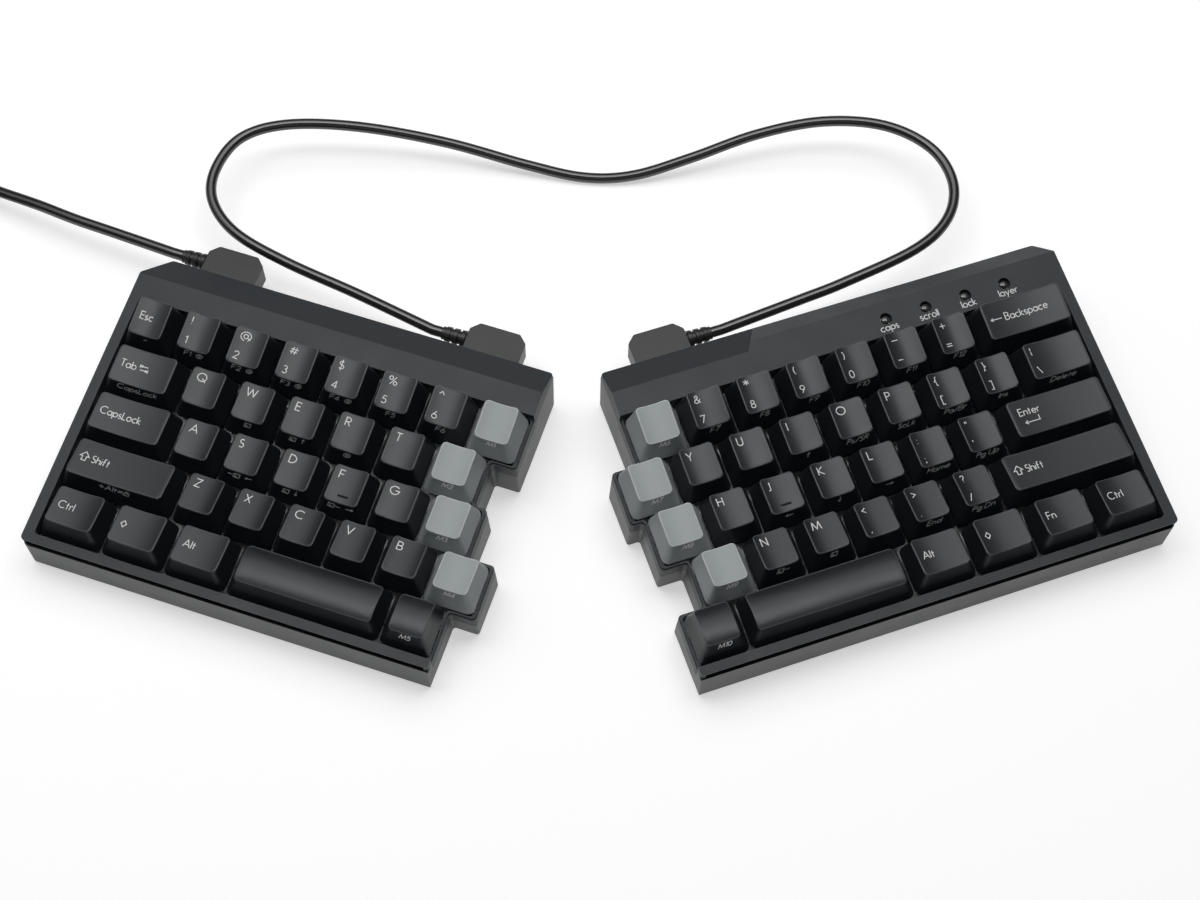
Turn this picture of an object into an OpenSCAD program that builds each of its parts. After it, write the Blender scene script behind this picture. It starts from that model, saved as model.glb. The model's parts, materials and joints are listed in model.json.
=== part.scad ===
// Ergonomic split keyboard: two fanned halves with sculpted caps on plate-mounted switches,
// a bridge cable between the halves and a host cable that ends in a tied coil.
// All lengths are millimetres. Each half is drawn from the outer rear corner of its key field.

/* [Layout] */
// Distance between neighbouring key centres
key_pitch = 19.05; // [18.6:0.05:20]
// Turn of each half away from a straight line
fan_angle = 18.65; // [5:0.05:30]
// Distance between the two key fields at their inner rear corners
half_gap = 19.2; // [10:0.1:60]
// Tilt of the key plate towards the typist
plate_tilt = 6; // [3:0.5:8]

/* [Keycaps] */
// Gap between the lower edges of neighbouring caps
cap_gap = 0.95; // [0.7:0.05:1.6]
// Distance that a cap narrows by on each side, from its lower edge to its top edge
cap_side_taper = 3.1; // [2.6:0.1:3.5]
// Distance that a cap narrows by at its front and at its rear
cap_end_taper = 2.35; // [2.1:0.05:2.8]
// Wall of a cap
cap_wall = 1.3; // [1:0.1:1.5]
// Roof of a cap under the lowest part of its dish
cap_roof = 1; // [0.8:0.1:1.4]
// Height of the cap's lower edge over the plate
cap_lift = 6.1; // [5.8:0.1:7]
// Depth of the dish across the top
dish_depth = 1; // [0.6:0.1:1.2]
// Drop of a rounded top's front and rear edges below its crown, on the two inner keys of the front row
crown_drop = 1.2; // [0.8:0.1:1.6]
// Corner radius at the base
cap_base_corner = 1.8; // [0.6:0.1:2.4]
// Corner radius at the top edge
cap_top_corner = 1.2; // [0.8:0.1:3]
// Width of the softened top edge
cap_edge = 0.5; // [0.3:0.1:0.8]
// Height of the softened top edge
cap_edge_drop = 1.4; // [1.3:0.1:1.8]
// Cap heights from the rear row to the front row
row_height = [10.8, 9.3, 8.5, 8.7, 8.4];
// Tilts of the cap tops from the rear row to the front row, rear edge up
row_tilt = [5.2, 1.1, -3.2, -10, -8.8];
// Rearward shift of the cap tops from the rear row to the front row
row_shift = [1, 1, 1.1, 1.5, 1.7];
// Length of the homing bar on the index-finger keys
homing_bar = 4.2; // [3:0.1:6]

/* [Switches] */
// Square body of a switch below the plate
switch_body = 13.9; // [13.5:0.05:14.2]
// Clearance of the switch body in its cut-out
switch_clear = 0.05; // [0.03:0.01:0.15]
// Square flange that rests on the plate
switch_flange = 15.6; // [15:0.1:16]
// Thickness of that flange
flange_thick = 1; // [0.8:0.1:1.3]
// Width of the switch at its top
switch_top = 10.4; // [9.6:0.1:10.8]
// Height of the switch over the plate
switch_rise = 6.5; // [6.2:0.1:6.8]
// Depth of the switch below the plate top, to the circuit board
switch_drop = 5; // [4.8:0.1:6]
// Width of the slider
slider_width = 6.8; // [6.4:0.1:7]
// Depth of the slider
slider_depth = 5.6; // [5.4:0.1:5.9]
// Clearance round the slider
slider_clear = 0.25; // [0.15:0.05:0.4]
// Length of the slider's cross arms
cross_length = 4; // [3.8:0.05:4.2]
// Thickness of the cross arms
cross_thick = 1.2; // [1:0.05:1.3]
// Height of the cross over the slider
cross_height = 3.6; // [3:0.1:3.9]
// Diameter of the cap's boss round the cross
boss_diameter = 5.6; // [5.4:0.1:6]
// Clearance of the cross in the boss
cross_clear = 0.05; // [0.03:0.01:0.1]
// Distance that a key travels
key_travel = 4; // [3.5:0.1:4]
// Distance of the stabilizers from the centre of a shift, enter or backspace key
stabilizer_short = 11.94; // [11.8:0.02:12.6]
// Distance of the stabilizers from the centre of a space bar
stabilizer_long = 19.05; // [18:0.05:20]

/* [Case] */
// Width of the bezel beside the key field
side_bezel = 4.4; // [3.6:0.1:8]
// Depth of the case in front of the key field
front_depth = 4.2; // [3.8:0.1:8]
// Depth of the case behind the key field
rear_depth = 21; // [20:0.5:30]
// Gap between the key field and the edge of the opening
open_gap = 0.45; // [0.3:0.05:1]
// Height of the bezel over the plate
bezel_height = 9.1; // [8.6:0.1:11]
// Height of the low rim beside the inner keys
rim_height = 5.4; // [4:0.1:6]
// Reach of that rim beyond the key field
rim_reach = 1.1; // [0.9:0.05:2]
// Width of the step along the rim's outer edge
rim_step = 0.5; // [0.3:0.05:0.6]
// Drop of that step below the rim
rim_drop = 0.9; // [0.5:0.1:1.5]
// Clearance between the rim and the caps
rim_clear = 0.4; // [0.3:0.05:0.6]
// Roof of the top case
bezel_roof = 2.5; // [2:0.1:3]
// Outer wall of the bottom case
base_wall = 2.4; // [2:0.1:3]
// Stepped inner wall of the bottom case
step_wall = 1.6; // [1.2:0.1:2]
// Reach of the stepped wall beyond the key field
step_reach = 1; // [0.6:0.05:1.1]
// Depth of the shadow line between the rim and the stepped wall
seam_depth = 0.4; // [0.2:0.05:0.6]
// Height of the shadow line
seam_height = 0.4; // [0.2:0.05:0.6]
// Thickness of the floor
floor_thick = 2; // [1.6:0.1:3]
// Distance from the front edge of the bezel down to the parting line
reveal_height = 4.6; // [4:0.1:5.4]
// Depth of the groove above the parting line
reveal_depth = 1.6; // [1:0.1:1.8]
// Length of bezel left in front at the outer end of the groove
groove_end = 0.9; // [0.6:0.1:2]
// Thickness of the bezel's lip over the groove
lip_thick = 0.8; // [0.6:0.1:1.6]
// Distance of the long rear slope's crease behind the key field
crease_near = 10; // [9:0.1:12]
// Distance of the short rear slope's crease behind the key field
crease_far = 13.8; // [13:0.1:16]
// Height of the rear slope's lower edge over the plate
slope_low = 1.4; // [0.8:0.1:3]
// Distance of the slope's step from the outer edge of the right key field, at the crease
slope_step = 119.7; // [100:0.1:130]
// Sideways run of that step
slope_step_run = 7; // [4:0.1:10]
// Corner cut of the left half, sideways
left_cut_x = 7; // [4:0.1:9]
// Corner cut of the left half, front to rear
left_cut_y = 10.4; // [6:0.1:11]
// Corner cut of the right half, sideways
right_cut_x = 3.8; // [3:0.1:9]
// Corner cut of the right half, front to rear
right_cut_y = 7.8; // [5:0.1:11]
// Corner radius of the case
case_corner = 1.5; // [0.5:0.1:2]

/* [Plate and board] */
// Thickness of the switch plate
plate_thick = 1.5; // [1.2:0.1:1.5]
// Reach of the plate behind the key field
plate_rear = 6.6; // [6.4:0.1:7]
// Thickness of the circuit board
board_thick = 1.6; // [1:0.1:1.6]
// Gap between the board and the floor at the front
board_clear = 1.8; // [1.5:0.1:4]
// Gap between the plate or board and the walls round it
edge_gap = 0.3; // [0.2:0.05:0.5]

/* [Screws and feet] */
// Diameter of the screw shanks
screw_diameter = 2; // [1.8:0.1:2.2]
// Clearance of a shank in its hole, on the diameter
screw_clear = 0.1; // [0.05:0.01:0.2]
// Diameter of the screw heads
screw_head = 3.8; // [3.4:0.1:4]
// Thickness of the screw heads
screw_head_thick = 1.2; // [1:0.1:1.4]
// Length of a case screw under its head
case_screw_length = 12; // [11:0.5:12.5]
// Length of a plate screw under its head
plate_screw_length = 7; // [5:0.5:7.5]
// Distance of the case screws behind the key field
screw_row = 3.5; // [3.4:0.1:3.6]
// Diameter of the posts and bosses round the screws
post_diameter = 5.4; // [5:0.1:5.6]
// Diameter of the rubber feet
rubber_diameter = 10; // [8:0.5:12]
// Height of the rubber feet under the floor
rubber_height = 1.5; // [1:0.1:3]
// Depth of the recess that holds a rubber foot
rubber_recess = 0.5; // [0.3:0.1:0.8]
// Width of a tilt foot
tilt_width = 16; // [12:0.5:18]
// Length of a tilt foot from its hinge to its end
tilt_length = 20; // [16:0.5:22]
// Thickness of a tilt foot
tilt_thick = 3.6; // [3:0.1:4]
// Diameter of a tilt foot's hinge pin
tilt_pin = 2.2; // [1.8:0.1:2.4]
// Clearance round the tilt foot in its pocket
tilt_clear = 0.4; // [0.3:0.05:0.6]
// Clearance of the hinge pin in its hole, on the diameter
pin_clear = 0.16; // [0.1:0.02:0.2]
// Distance of the tilt hinge from the rear face of the case
tilt_hinge = 8; // [7.5:0.1:10]

/* [Indicators and ports] */
// Diameter of the indicator holes
lamp_hole = 4.6; // [4:0.1:5]
// Diameter of the indicator lenses
lamp_lens = 3; // [2.4:0.1:3.4]
// Distance between the indicators
lamp_pitch = 15.9; // [14:0.1:18]
// Distance of the first indicator from the outer edge of the key field
lamp_first = 18.8; // [14:0.1:24]
// Distance of the indicators behind the key field
lamp_row = 6.9; // [6.6:0.1:7.2]
// Height of the port centres over the surface the keyboard stands on
port_height = 14.5; // [13:0.1:16]
// Distance of the bridge ports from the inner edge of the rear key row
bridge_port = 21; // [18:0.1:40]
// Distance of the host port from the outer edge of the key field
host_port = 26; // [24:0.1:40]
// Width of the port shell
port_width = 7.8; // [7:0.1:8.4]
// Height of the port shell
port_thick = 3.9; // [3.5:0.1:4.4]
// Length of the port shell
port_length = 9; // [8:0.1:10]
// Wall of the port shell
port_wall = 0.4; // [0.3:0.05:0.5]
// Clearance of a plug tip in its port and of a port in its window
port_clear = 0.1; // [0.05:0.05:0.3]
// Length of a plug body along the case
plug_length = 22; // [20:0.1:26]
// Depth of a plug body behind the case
plug_depth = 15; // [14:0.1:18]
// Thickness of a plug body
plug_thick = 9; // [8:0.1:10]
// Corner cut of a plug body
plug_cut = 3.2; // [2:0.1:4]
// Distance of a plug's tip from its closed end
plug_tip = 7; // [6:0.1:9]
// Distance of the cable's axis behind the case
cable_offset = 9; // [8:0.1:9.5]
// Length of a ribbed strain relief
relief_length = 10; // [8:0.1:14]
// Diameter of a strain relief's ribs
relief_diameter = 6.6; // [6:0.1:7.4]

/* [Cables] */
// Diameter of the bridge cable
bridge_cable_diameter = 3.4; // [3:0.1:3.5]
// Diameter of the host cable
host_cable_diameter = 3.8; // [3.4:0.1:3.9]
// Turns of the coil in each of its two layers
coil_turns = 5; // [3:1:6]
// Radius of the coil's innermost turn
coil_inner = 11; // [9:0.5:16]
// Distance between neighbouring turns and layers
coil_step = 4.6; // [4.5:0.1:5]
// Thickness of the cable tie
tie_thick = 1; // [0.8:0.1:1.4]
// Width of the cable tie
tie_width = 4; // [3:0.5:6]
// Gap between the cable tie and the coil
tie_gap = 0.15; // [0.1:0.05:0.3]
// Length of the far plug's body
usb_length = 28; // [24:1:34]
// Width of the far plug's body
usb_width = 16; // [14:0.5:17]
// Thickness of the far plug's body
usb_thick = 9.6; // [8:0.1:10]

/* [Hidden] */
$fn = 48;

// Key widths in units, row by row from the rear, each row from the outer edge to the inner one
LEFT = [
  [1, 1, 1, 1, 1, 1, 1, 1],
  [1.5, 1, 1, 1, 1, 1, 1],
  [1.75, 1, 1, 1, 1, 1, 1],
  [2.25, 1, 1, 1, 1, 1, 1],
  [1.25, 1.25, 1.25, 3, 1]];
RIGHT = [
  [2, 1, 1, 1, 1, 1, 1, 1],
  [1.5, 1, 1, 1, 1, 1, 1, 1, 1],
  [2.25, 1, 1, 1, 1, 1, 1, 1],
  [2.75, 1, 1, 1, 1, 1, 1],
  [1.25, 1.25, 1.25, 1.25, 3.25, 1]];
ROWS = len(LEFT);
far = 400;
eps = 0.01;
// Distance that a cut reaches past the outside
spill = 5;
// Post of a stabilized cap, and the housing that guides it
post_size = [5.2, 3.8];
post_low = 0.8;
post_clear = 0.3;
guide_size = [7, 12];
guide_flange = [7.2, 13.4];
guide_rise = 5;
// Thread of a case screw in its boss, and room above a tilt foot and round its ends
screw_bite = 5.5;
tilt_room = 0.5;
tilt_end_gap = 0.6;
pocket_wall = 1.6;
pocket_roof = 1.5;
// Metal shell of the far plug
usb_shell = [12, 12, 4.5];
usb_shell_wall = 0.4;

// Sums, row ends and key centres
function sum_to(list, n) = n <= 0 ? 0 : list[n - 1] + sum_to(list, n - 1);
function row_end(rows, r) = sum_to(rows[r], len(rows[r])) * key_pitch;
function centre_x(rows, r, i) = (sum_to(rows[r], i) + rows[r][i] / 2) * key_pitch;
function centre_y(r) = -(r + 0.5) * key_pitch;
function inner_x(rows) = row_end(rows, 0);
function widest(rows) = max([for (r = [0:ROWS - 1]) row_end(rows, r)]);
function narrowest(rows) = min([for (r = [0:ROWS - 1]) row_end(rows, r)]);
function stabilizer_at(w) = w >= 3 ? stabilizer_long : stabilizer_short;

// Sizes of a one-unit cap, which follow the key pitch
cap_base = key_pitch - cap_gap;
cap_top_width = cap_base - 2 * cap_side_taper;
cap_top_depth = cap_base - 2 * cap_end_taper;

// Heights, all derived from the stack of floor, board, switch and plate
field_depth = ROWS * key_pitch;
floor_low = rubber_height;
floor_top = floor_low + floor_thick;
stack = board_clear + board_thick + switch_drop;
plate_z = floor_top + stack + (field_depth + 1) * sin(plate_tilt);
front_y = -(field_depth * cos(plate_tilt) + front_depth + bezel_height * sin(plate_tilt) - 0.45);
rear_y = rear_depth;
front_p = (front_y + bezel_height * sin(plate_tilt)) / cos(plate_tilt);
rear_p = (rear_y + slope_low * sin(plate_tilt)) / cos(plate_tilt);
front_open = -field_depth - open_gap;
rear_open = open_gap;
rim_in = (cap_base / 2 + rim_clear) - key_pitch / 2;
plate_reach = rim_in - 0.2;
part_front = bezel_height - reveal_height;
part_rear = slope_low - 2;
part_angle = atan((part_front - part_rear) / (rear_p - front_p));
slope_angle = atan((bezel_height - slope_low) / (rear_p - crease_near));

// Positions of the case screws along a half, and of the plate screws near the front row
function case_screw_x(rows) = [6, inner_x(rows) * 0.52, inner_x(rows) - 8];
function bar_index(rows) = len(rows[ROWS - 1]) - 2;
function bar_end(rows) = centre_x(rows, ROWS - 1, bar_index(rows)) + stabilizer_long + 3.6;
function last_start(rows) = centre_x(rows, ROWS - 1, bar_index(rows) + 1) - switch_flange / 2;
function plate_screw_x(rows) = [1.2, (bar_end(rows) + last_start(rows)) / 2];
plate_screw_y = centre_y(ROWS - 1);
function tilt_x(rows) = [20, inner_x(rows) - 26];
function rubber_spots(rows) = [
  [8, front_y + 9], [row_end(rows, ROWS - 1) - 10, front_y + 9],
  [42, rear_y - 9], [inner_x(rows) - 48, rear_y - 9]];
tilt_y = rear_y - tilt_hinge;
tilt_z = floor_low + tilt_thick / 2 + 0.3;

// Outline of a key field: stepped along the inner keys, straight on its other sides
function steps(rows, reach) = [for (r = [ROWS - 1:-1:1])
  let(a = row_end(rows, r) + reach, b = row_end(rows, r - 1) + reach)
  let(y = -r * key_pitch + (b > a ? -reach : reach))
  each [[a, y], [b, y]]];
function field(rows, reach, left, front, rear) = concat(
  [[left, front], [row_end(rows, ROWS - 1) + reach, front]], steps(rows, reach),
  [[inner_x(rows) + reach, rear], [left, rear]]);
// Outline of a switch plate: it fills the opening and reaches under the bezel, clear of the inner walls
function plate_outline(rows) =
  let(left = edge_gap + base_wall - side_bezel, front = front_p + base_wall + edge_gap)
  let(near = front_open + case_corner / 2, back = rear_open - case_corner / 2, last = row_end(rows, ROWS - 1))
  let(front_x = last + step_reach - step_wall - edge_gap)
  let(rear_x = inner_x(rows) + step_reach - base_wall - edge_gap)
  concat([[left, front], [front_x, front], [front_x, near], [last + plate_reach, near]],
    steps(rows, plate_reach), [[inner_x(rows) + plate_reach, back], [rear_x, back], [rear_x, plate_rear],
    [left, plate_rear]]);
function cut_field(rows, reach, left, front, rear, cut) = concat(
  [[left, front], [row_end(rows, ROWS - 1) + reach, front]], steps(rows, reach),
  [[inner_x(rows) + reach, rear], [left + cut.x, rear], [left, rear - cut.y]]);

// Round the corners of an outline with arcs of a few chords
function unit(v) = v / norm(v);
function arc_point(c, from, to, k) = c + norm(from - c) * unit((1 - k) * (from - c) + k * (to - c));
function corner_arc(p, a, b, r) =
  let(u = unit(a - p), v = unit(b - p), half = acos(max(-1, min(1, u * v))) / 2)
  let(run = min(r / tan(half), 0.45 * min(norm(a - p), norm(b - p))))
  let(c = p + unit(u + v) * run / cos(half))
  [for (k = [0, 0.27, 0.5, 0.73, 1]) arc_point(c, p + u * run, p + v * run, k)];
function rounded(pts, r) = [for (i = [0:len(pts) - 1])
  each corner_arc(pts[i], pts[(i + len(pts) - 1) % len(pts)], pts[(i + 1) % len(pts)], r)];

// Place of each half on the surface, with the pair centred on its own box
left_cut = [left_cut_x, left_cut_y];
right_cut = [right_cut_x, right_cut_y];
function turned(p, a) = [p.x * cos(a) - p.y * sin(a), p.x * sin(a) + p.y * cos(a)];
function left_plain(p) = turned([p.x - inner_x(LEFT), p.y - rear_y], -fan_angle) - [half_gap / 2, 0];
function right_plain(p) = turned([inner_x(RIGHT) - p.x, p.y - rear_y], fan_angle) + [half_gap / 2, 0];
function plan(rows, cut) =
  rounded(cut_field(rows, rim_reach, -side_bezel, front_y, rear_y, cut), case_corner);
corners = concat(
  [for (p = plan(LEFT, left_cut)) left_plain(p)],
  [for (p = plan(RIGHT, right_cut)) right_plain(p)]);
corner_x = [for (p = corners) p.x];
corner_y = [for (p = corners) p.y];
origin = [(min(corner_x) + max(corner_x)) / 2, (min(corner_y) + max(corner_y)) / 2];
function left_world(p) = let(q = left_plain(p) - origin) [q.x, q.y, p.z];
function right_world(p) = let(q = right_plain(p) - origin) [q.x, q.y, p.z];

module left_half() {
  translate([-half_gap / 2 - origin.x, -origin.y, 0])
    rotate([0, 0, -fan_angle])
      translate([-inner_x(LEFT), -rear_y, 0]) children();
}

module right_half() {
  translate([half_gap / 2 - origin.x, -origin.y, 0])
    rotate([0, 0, fan_angle])
      mirror([1, 0, 0])
        translate([-inner_x(RIGHT), -rear_y, 0]) children();
}

module tilted() {
  translate([0, 0, plate_z]) rotate([plate_tilt, 0, 0]) children();
}

module on_left() {
  left_half() tilted() children();
}

module on_right() {
  right_half() tilted() children();
}

// A block that stands on a height, centred on both sides
module block(w, d, h, low = 0) {
  translate([-w / 2, -d / 2, low]) cube([w, d, h]);
}

// A solid swept through rings of equal point counts, with triangles between the rings
module loft(rings) {
  n = len(rings[0]);
  m = len(rings);
  sides = [for (k = [0:m - 2], i = [0:n - 1]) let(j = (i + 1) % n, a = k * n, b = a + n)
    each [[a + i, b + i, b + j], [a + i, b + j, a + j]]];
  ends = [[for (i = [0:n - 1]) i], [for (i = [n - 1:-1:0]) (m - 1) * n + i]];
  polyhedron(points = [for (r = rings) each r], faces = concat(sides, ends), convexity = 4);
}

// Ring of a rounded rectangle that lies in a plane tilted from front to rear
function ring(w, d, r, z, shift = 0, tilt = 0, arcs = 3) = [for (q = [0:3], k = [0:arcs])
  let(a = q * 90 + k * 90 / arcs + 180, sx = q == 1 || q == 2 ? 1 : -1, sy = q >= 2 ? 1 : -1)
  let(x = sx * (w / 2 - r) + r * cos(a), y = sy * (d / 2 - r) + r * sin(a))
  [x, y + shift, z + y * tan(tilt)]];

// Caps
function cap_ceiling(r) =
  row_height[r] - dish_depth - cap_roof - abs(sin(row_tilt[r])) * cap_top_depth / 2;
function mix(a, b, k) = a + (b - a) * k;

module cap_outside(w, r) {
  more = (w - 1) * key_pitch;
  top_w = cap_top_width + more;
  crown = row_height[r];
  loft([
    ring(cap_base + more, cap_base, cap_base_corner, 0),
    ring(top_w + 2 * cap_edge, cap_top_depth + 2 * cap_edge, cap_top_corner, crown - cap_edge_drop,
      row_shift[r], row_tilt[r]),
    ring(top_w, cap_top_depth, cap_top_corner, crown + 0.25, row_shift[r], row_tilt[r])]);
}

module cap_inside(w, r) {
  more = (w - 1) * key_pitch;
  top = cap_ceiling(r);
  k = top / (row_height[r] - cap_edge_drop);
  wide = mix(cap_base, cap_top_width + 2 * cap_edge, k) - 2 * cap_wall + more;
  deep = mix(cap_base, cap_top_depth + 2 * cap_edge, k) - 2 * cap_wall;
  loft([
    ring(cap_base - 2 * cap_wall + more, cap_base - 2 * cap_wall, 0.6, -eps, arcs = 1),
    ring(wide, deep, 0.6, top, row_shift[r] * k, arcs = 1)]);
}

// The hollow across a cap's top, one long cylinder from front to rear
module dish(w, r) {
  half = (cap_top_width + (w - 1) * key_pitch) / 2;
  radius = (half * half + dish_depth * dish_depth) / (2 * dish_depth);
  translate([0, row_shift[r], row_height[r]])
    rotate([row_tilt[r], 0, 0])
      translate([0, 0, radius - dish_depth])
        rotate([90, 0, 0])
          cylinder(r = radius, h = 40, center = true, $fn = 360);
}

// The rounded crown of a top, one cylinder along the row
module crown(w, r) {
  half = cap_top_depth / 2;
  radius = (half * half + crown_drop * crown_drop) / (2 * crown_drop);
  translate([0, row_shift[r], row_height[r]])
    rotate([row_tilt[r], 0, 0])
      translate([0, 0, -radius])
        rotate([0, 90, 0])
          cylinder(r = radius, h = 20 + w * key_pitch, center = true, $fn = 120);
}

module cap_body(w, r, crowned) {
  if (crowned) {
    intersection() {
      cap_outside(w, r);
      crown(w, r);
    }
  } else {
    difference() {
      cap_outside(w, r);
      dish(w, r);
    }
  }
}

boss_low = switch_rise + 0.05 - cap_lift;

module cross_bars(length, thick, height) {
  block(length, thick, height);
  block(thick, length, height);
}

module cap(w, r, crowned) {
  top = cap_ceiling(r);
  difference() {
    union() {
      difference() {
        cap_body(w, r, crowned);
        cap_inside(w, r);
      }
      translate([0, 0, boss_low]) cylinder(d = boss_diameter, h = top - boss_low + cap_roof / 2);
      if (w >= 2) {
        for (s = [-1, 1]) {
          translate([s * stabilizer_at(w), 0, post_low - cap_lift])
            block(post_size.x, post_size.y, top + cap_lift - post_low + cap_roof / 2);
        }
      }
    }
    translate([0, 0, boss_low - eps])
      cross_bars(cross_length + 2 * cross_clear, cross_thick + 2 * cross_clear, cross_height + 0.3);
  }
}

module homing(r) {
  translate([0, row_shift[r], row_height[r]])
    rotate([row_tilt[r], 0, 0])
      translate([-homing_bar / 2, 2 - cap_top_depth / 2, -dish_depth - 0.5])
        cube([homing_bar, 0.9, 0.95]);
}

// The switch slider that carries a cap
module slider() {
  difference() {
    block(slider_width, slider_depth, switch_rise);
    translate([0, 0, -eps]) cylinder(d = 3.2, h = switch_rise - 1.5);
  }
  translate([0, 0, switch_rise - eps]) cross_bars(cross_length, cross_thick, cross_height);
}

module key(rows, r, i, bar = false) {
  w = rows[r][i];
  translate([centre_x(rows, r, i), centre_y(r), 0]) {
    translate([0, 0, cap_lift]) {
      cap(w, r, r == ROWS - 1 && i >= bar_index(rows));
      if (bar) homing(r);
    }
    slider();
  }
}

// Switch housing: body in the plate, flange on it and a tapered hood with the slider's well
module hood() {
  low = flange_thick - eps;
  base = switch_flange - 1;
  side = [[-base / 2, low], [base / 2, low], [switch_top / 2, switch_rise], [-switch_top / 2, switch_rise]];
  intersection() {
    rotate([90, 0, 0]) linear_extrude(height = 20, center = true) polygon(side);
    rotate([90, 0, 90]) linear_extrude(height = 20, center = true) polygon(side);
  }
}

module housing() {
  difference() {
    union() {
      block(switch_body, switch_body, switch_drop + eps, -switch_drop);
      block(switch_flange, switch_flange, flange_thick);
      hood();
    }
    block(slider_width + 2 * slider_clear, slider_depth + 2 * slider_clear, 20, -key_travel - 0.3);
  }
}

module stabilizer_box() {
  difference() {
    union() {
      block(guide_size.x, guide_size.y, switch_drop + guide_rise, -switch_drop);
      block(guide_flange.x, guide_flange.y, flange_thick);
    }
    block(post_size.x + 2 * post_clear, post_size.y + 2 * post_clear, 20, -key_travel);
  }
}

module each_key(rows) {
  for (r = [0:ROWS - 1]) {
    for (i = [0:len(rows[r]) - 1]) {
      translate([centre_x(rows, r, i), centre_y(r), 0]) children();
    }
  }
}

module each_stabilizer(rows) {
  for (r = [0:ROWS - 1]) {
    for (i = [0:len(rows[r]) - 1]) {
      w = rows[r][i];
      if (w >= 2) {
        for (s = [-1, 1]) {
          translate([centre_x(rows, r, i) + s * stabilizer_at(w), centre_y(r), 0]) children();
        }
      }
    }
  }
}

module plate(rows) {
  hole = switch_body + 2 * switch_clear;
  difference() {
    translate([0, 0, -plate_thick])
      linear_extrude(height = plate_thick)
        polygon(rounded(plate_outline(rows), 1));
    each_key(rows) block(hole, hole, 10, -5);
    each_stabilizer(rows) block(guide_size.x + 2 * switch_clear, guide_size.y + 2 * switch_clear, 10, -5);
    screw_axes(rows) cylinder(d = screw_diameter + 0.6, h = 10, center = true);
  }
}

module board(rows) {
  difference() {
    translate([0, 0, -switch_drop - board_thick])
      linear_extrude(height = board_thick)
        polygon(rounded(field(rows, step_reach - step_wall - edge_gap, edge_gap + base_wall - side_bezel,
          front_p + base_wall + 2 * edge_gap, -0.8), 1));
    for (x = plate_screw_x(rows)) {
      translate([x, plate_screw_y, -switch_drop])
        cylinder(d = post_diameter + 2 * edge_gap, h = 10, center = true);
    }
  }
}

module screw_axes(rows) {
  for (x = case_screw_x(rows)) {
    translate([x, screw_row, 0]) children();
  }
  for (x = plate_screw_x(rows)) {
    translate([x, plate_screw_y, 0]) children();
  }
}

// Space above the parting line: a plane that falls to the rear, lower along the stepped inner side
module above_parting(rows) {
  translate([0, front_p, part_front])
    rotate([-part_angle, 0, 0])
      translate([-far / 4, -far / 4, 0]) cube([far, far, far / 4]);
  translate([narrowest(rows) - 5, front_open, -plate_thick]) cube([far, rear_open - front_open, far / 4]);
}

// Everything behind a crease and above the slope from it down to the rear edge
module slope_cut(crease) {
  fall = (bezel_height - slope_low) / (rear_p - crease);
  translate([-far / 4, 0, 0])
    rotate([90, 0, 90])
      linear_extrude(height = far)
        polygon([[crease, bezel_height], [rear_p + 5, slope_low - 5 * fall],
          [rear_p + 5, bezel_height + 5], [crease, bezel_height + 5]]);
}

module rear_hollow(rows, cut) {
  drop = (base_wall - 0.2) / cos(slope_angle);
  roof = bezel_height - bezel_roof;
  back = rear_p - base_wall;
  high = crease_near + (bezel_height - drop - roof) / tan(slope_angle);
  low = bezel_height - drop - (back - crease_near) * tan(slope_angle);
  intersection() {
    translate([-far / 4, 0, 0])
      rotate([90, 0, 90])
        linear_extrude(height = far)
          polygon([[rear_open + 1.5, -20], [back, -20], [back, low], [high, roof], [rear_open + 1.5, roof]]);
    translate([0, 0, -20])
      linear_extrude(height = 60)
        polygon([[base_wall - side_bezel, 0], [inner_x(rows) + rim_reach - base_wall, 0],
          [inner_x(rows) + rim_reach - base_wall, far / 4], [cut.x + 8 - side_bezel, far / 4],
          [cut.x + 0.6 * base_wall - side_bezel, back],
          [base_wall - side_bezel, rear_p - cut.y - 0.4 * base_wall]]);
  }
}

// Step along the outer edge of the low rim
module rim_ledge(rows) {
  difference() {
    translate([key_pitch, front_open, rim_height - rim_drop]) cube([far, rear_open - front_open, 20]);
    translate([0, 0, -20])
      linear_extrude(height = 60)
        polygon(rounded(field(rows, rim_reach - rim_step, -far / 4, -far / 2, far / 4), case_corner));
  }
}

module top_case(rows, cut) {
  groove_top = bezel_height - lip_thick;
  groove_length = row_end(rows, ROWS - 1) + rim_reach - step_wall + side_bezel - groove_end;
  difference() {
    union() {
      difference() {
        intersection() {
          translate([0, 0, -10])
            linear_extrude(height = bezel_height + 10)
              polygon(rounded(cut_field(rows, rim_reach, -side_bezel, front_p, rear_p, cut), case_corner));
          above_parting(rows);
        }
        translate([0, 0, -20])
          linear_extrude(height = 60)
            polygon(rounded(field(rows, rim_in, -open_gap, front_open, rear_open), case_corner));
        translate([key_pitch, front_open, rim_height]) cube([far, rear_open - front_open, 20]);
        rim_ledge(rows);
        rear_hollow(rows, cut);
        translate([groove_end - side_bezel, front_p - spill, groove_top - 20])
          cube([groove_length, reveal_depth + spill, 20]);
      }
      for (x = case_screw_x(rows)) {
        translate([x, screw_row, 0]) cylinder(d = post_diameter, h = bezel_height - 1);
      }
    }
    for (x = case_screw_x(rows)) {
      translate([x, screw_row, -eps])
        cylinder(d = screw_diameter + screw_clear, h = bezel_height - bezel_roof - 0.6);
    }
  }
}

module lamp_spots() {
  for (k = [0:3]) {
    translate([lamp_first + k * lamp_pitch, lamp_row, 0]) children();
  }
}

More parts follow.
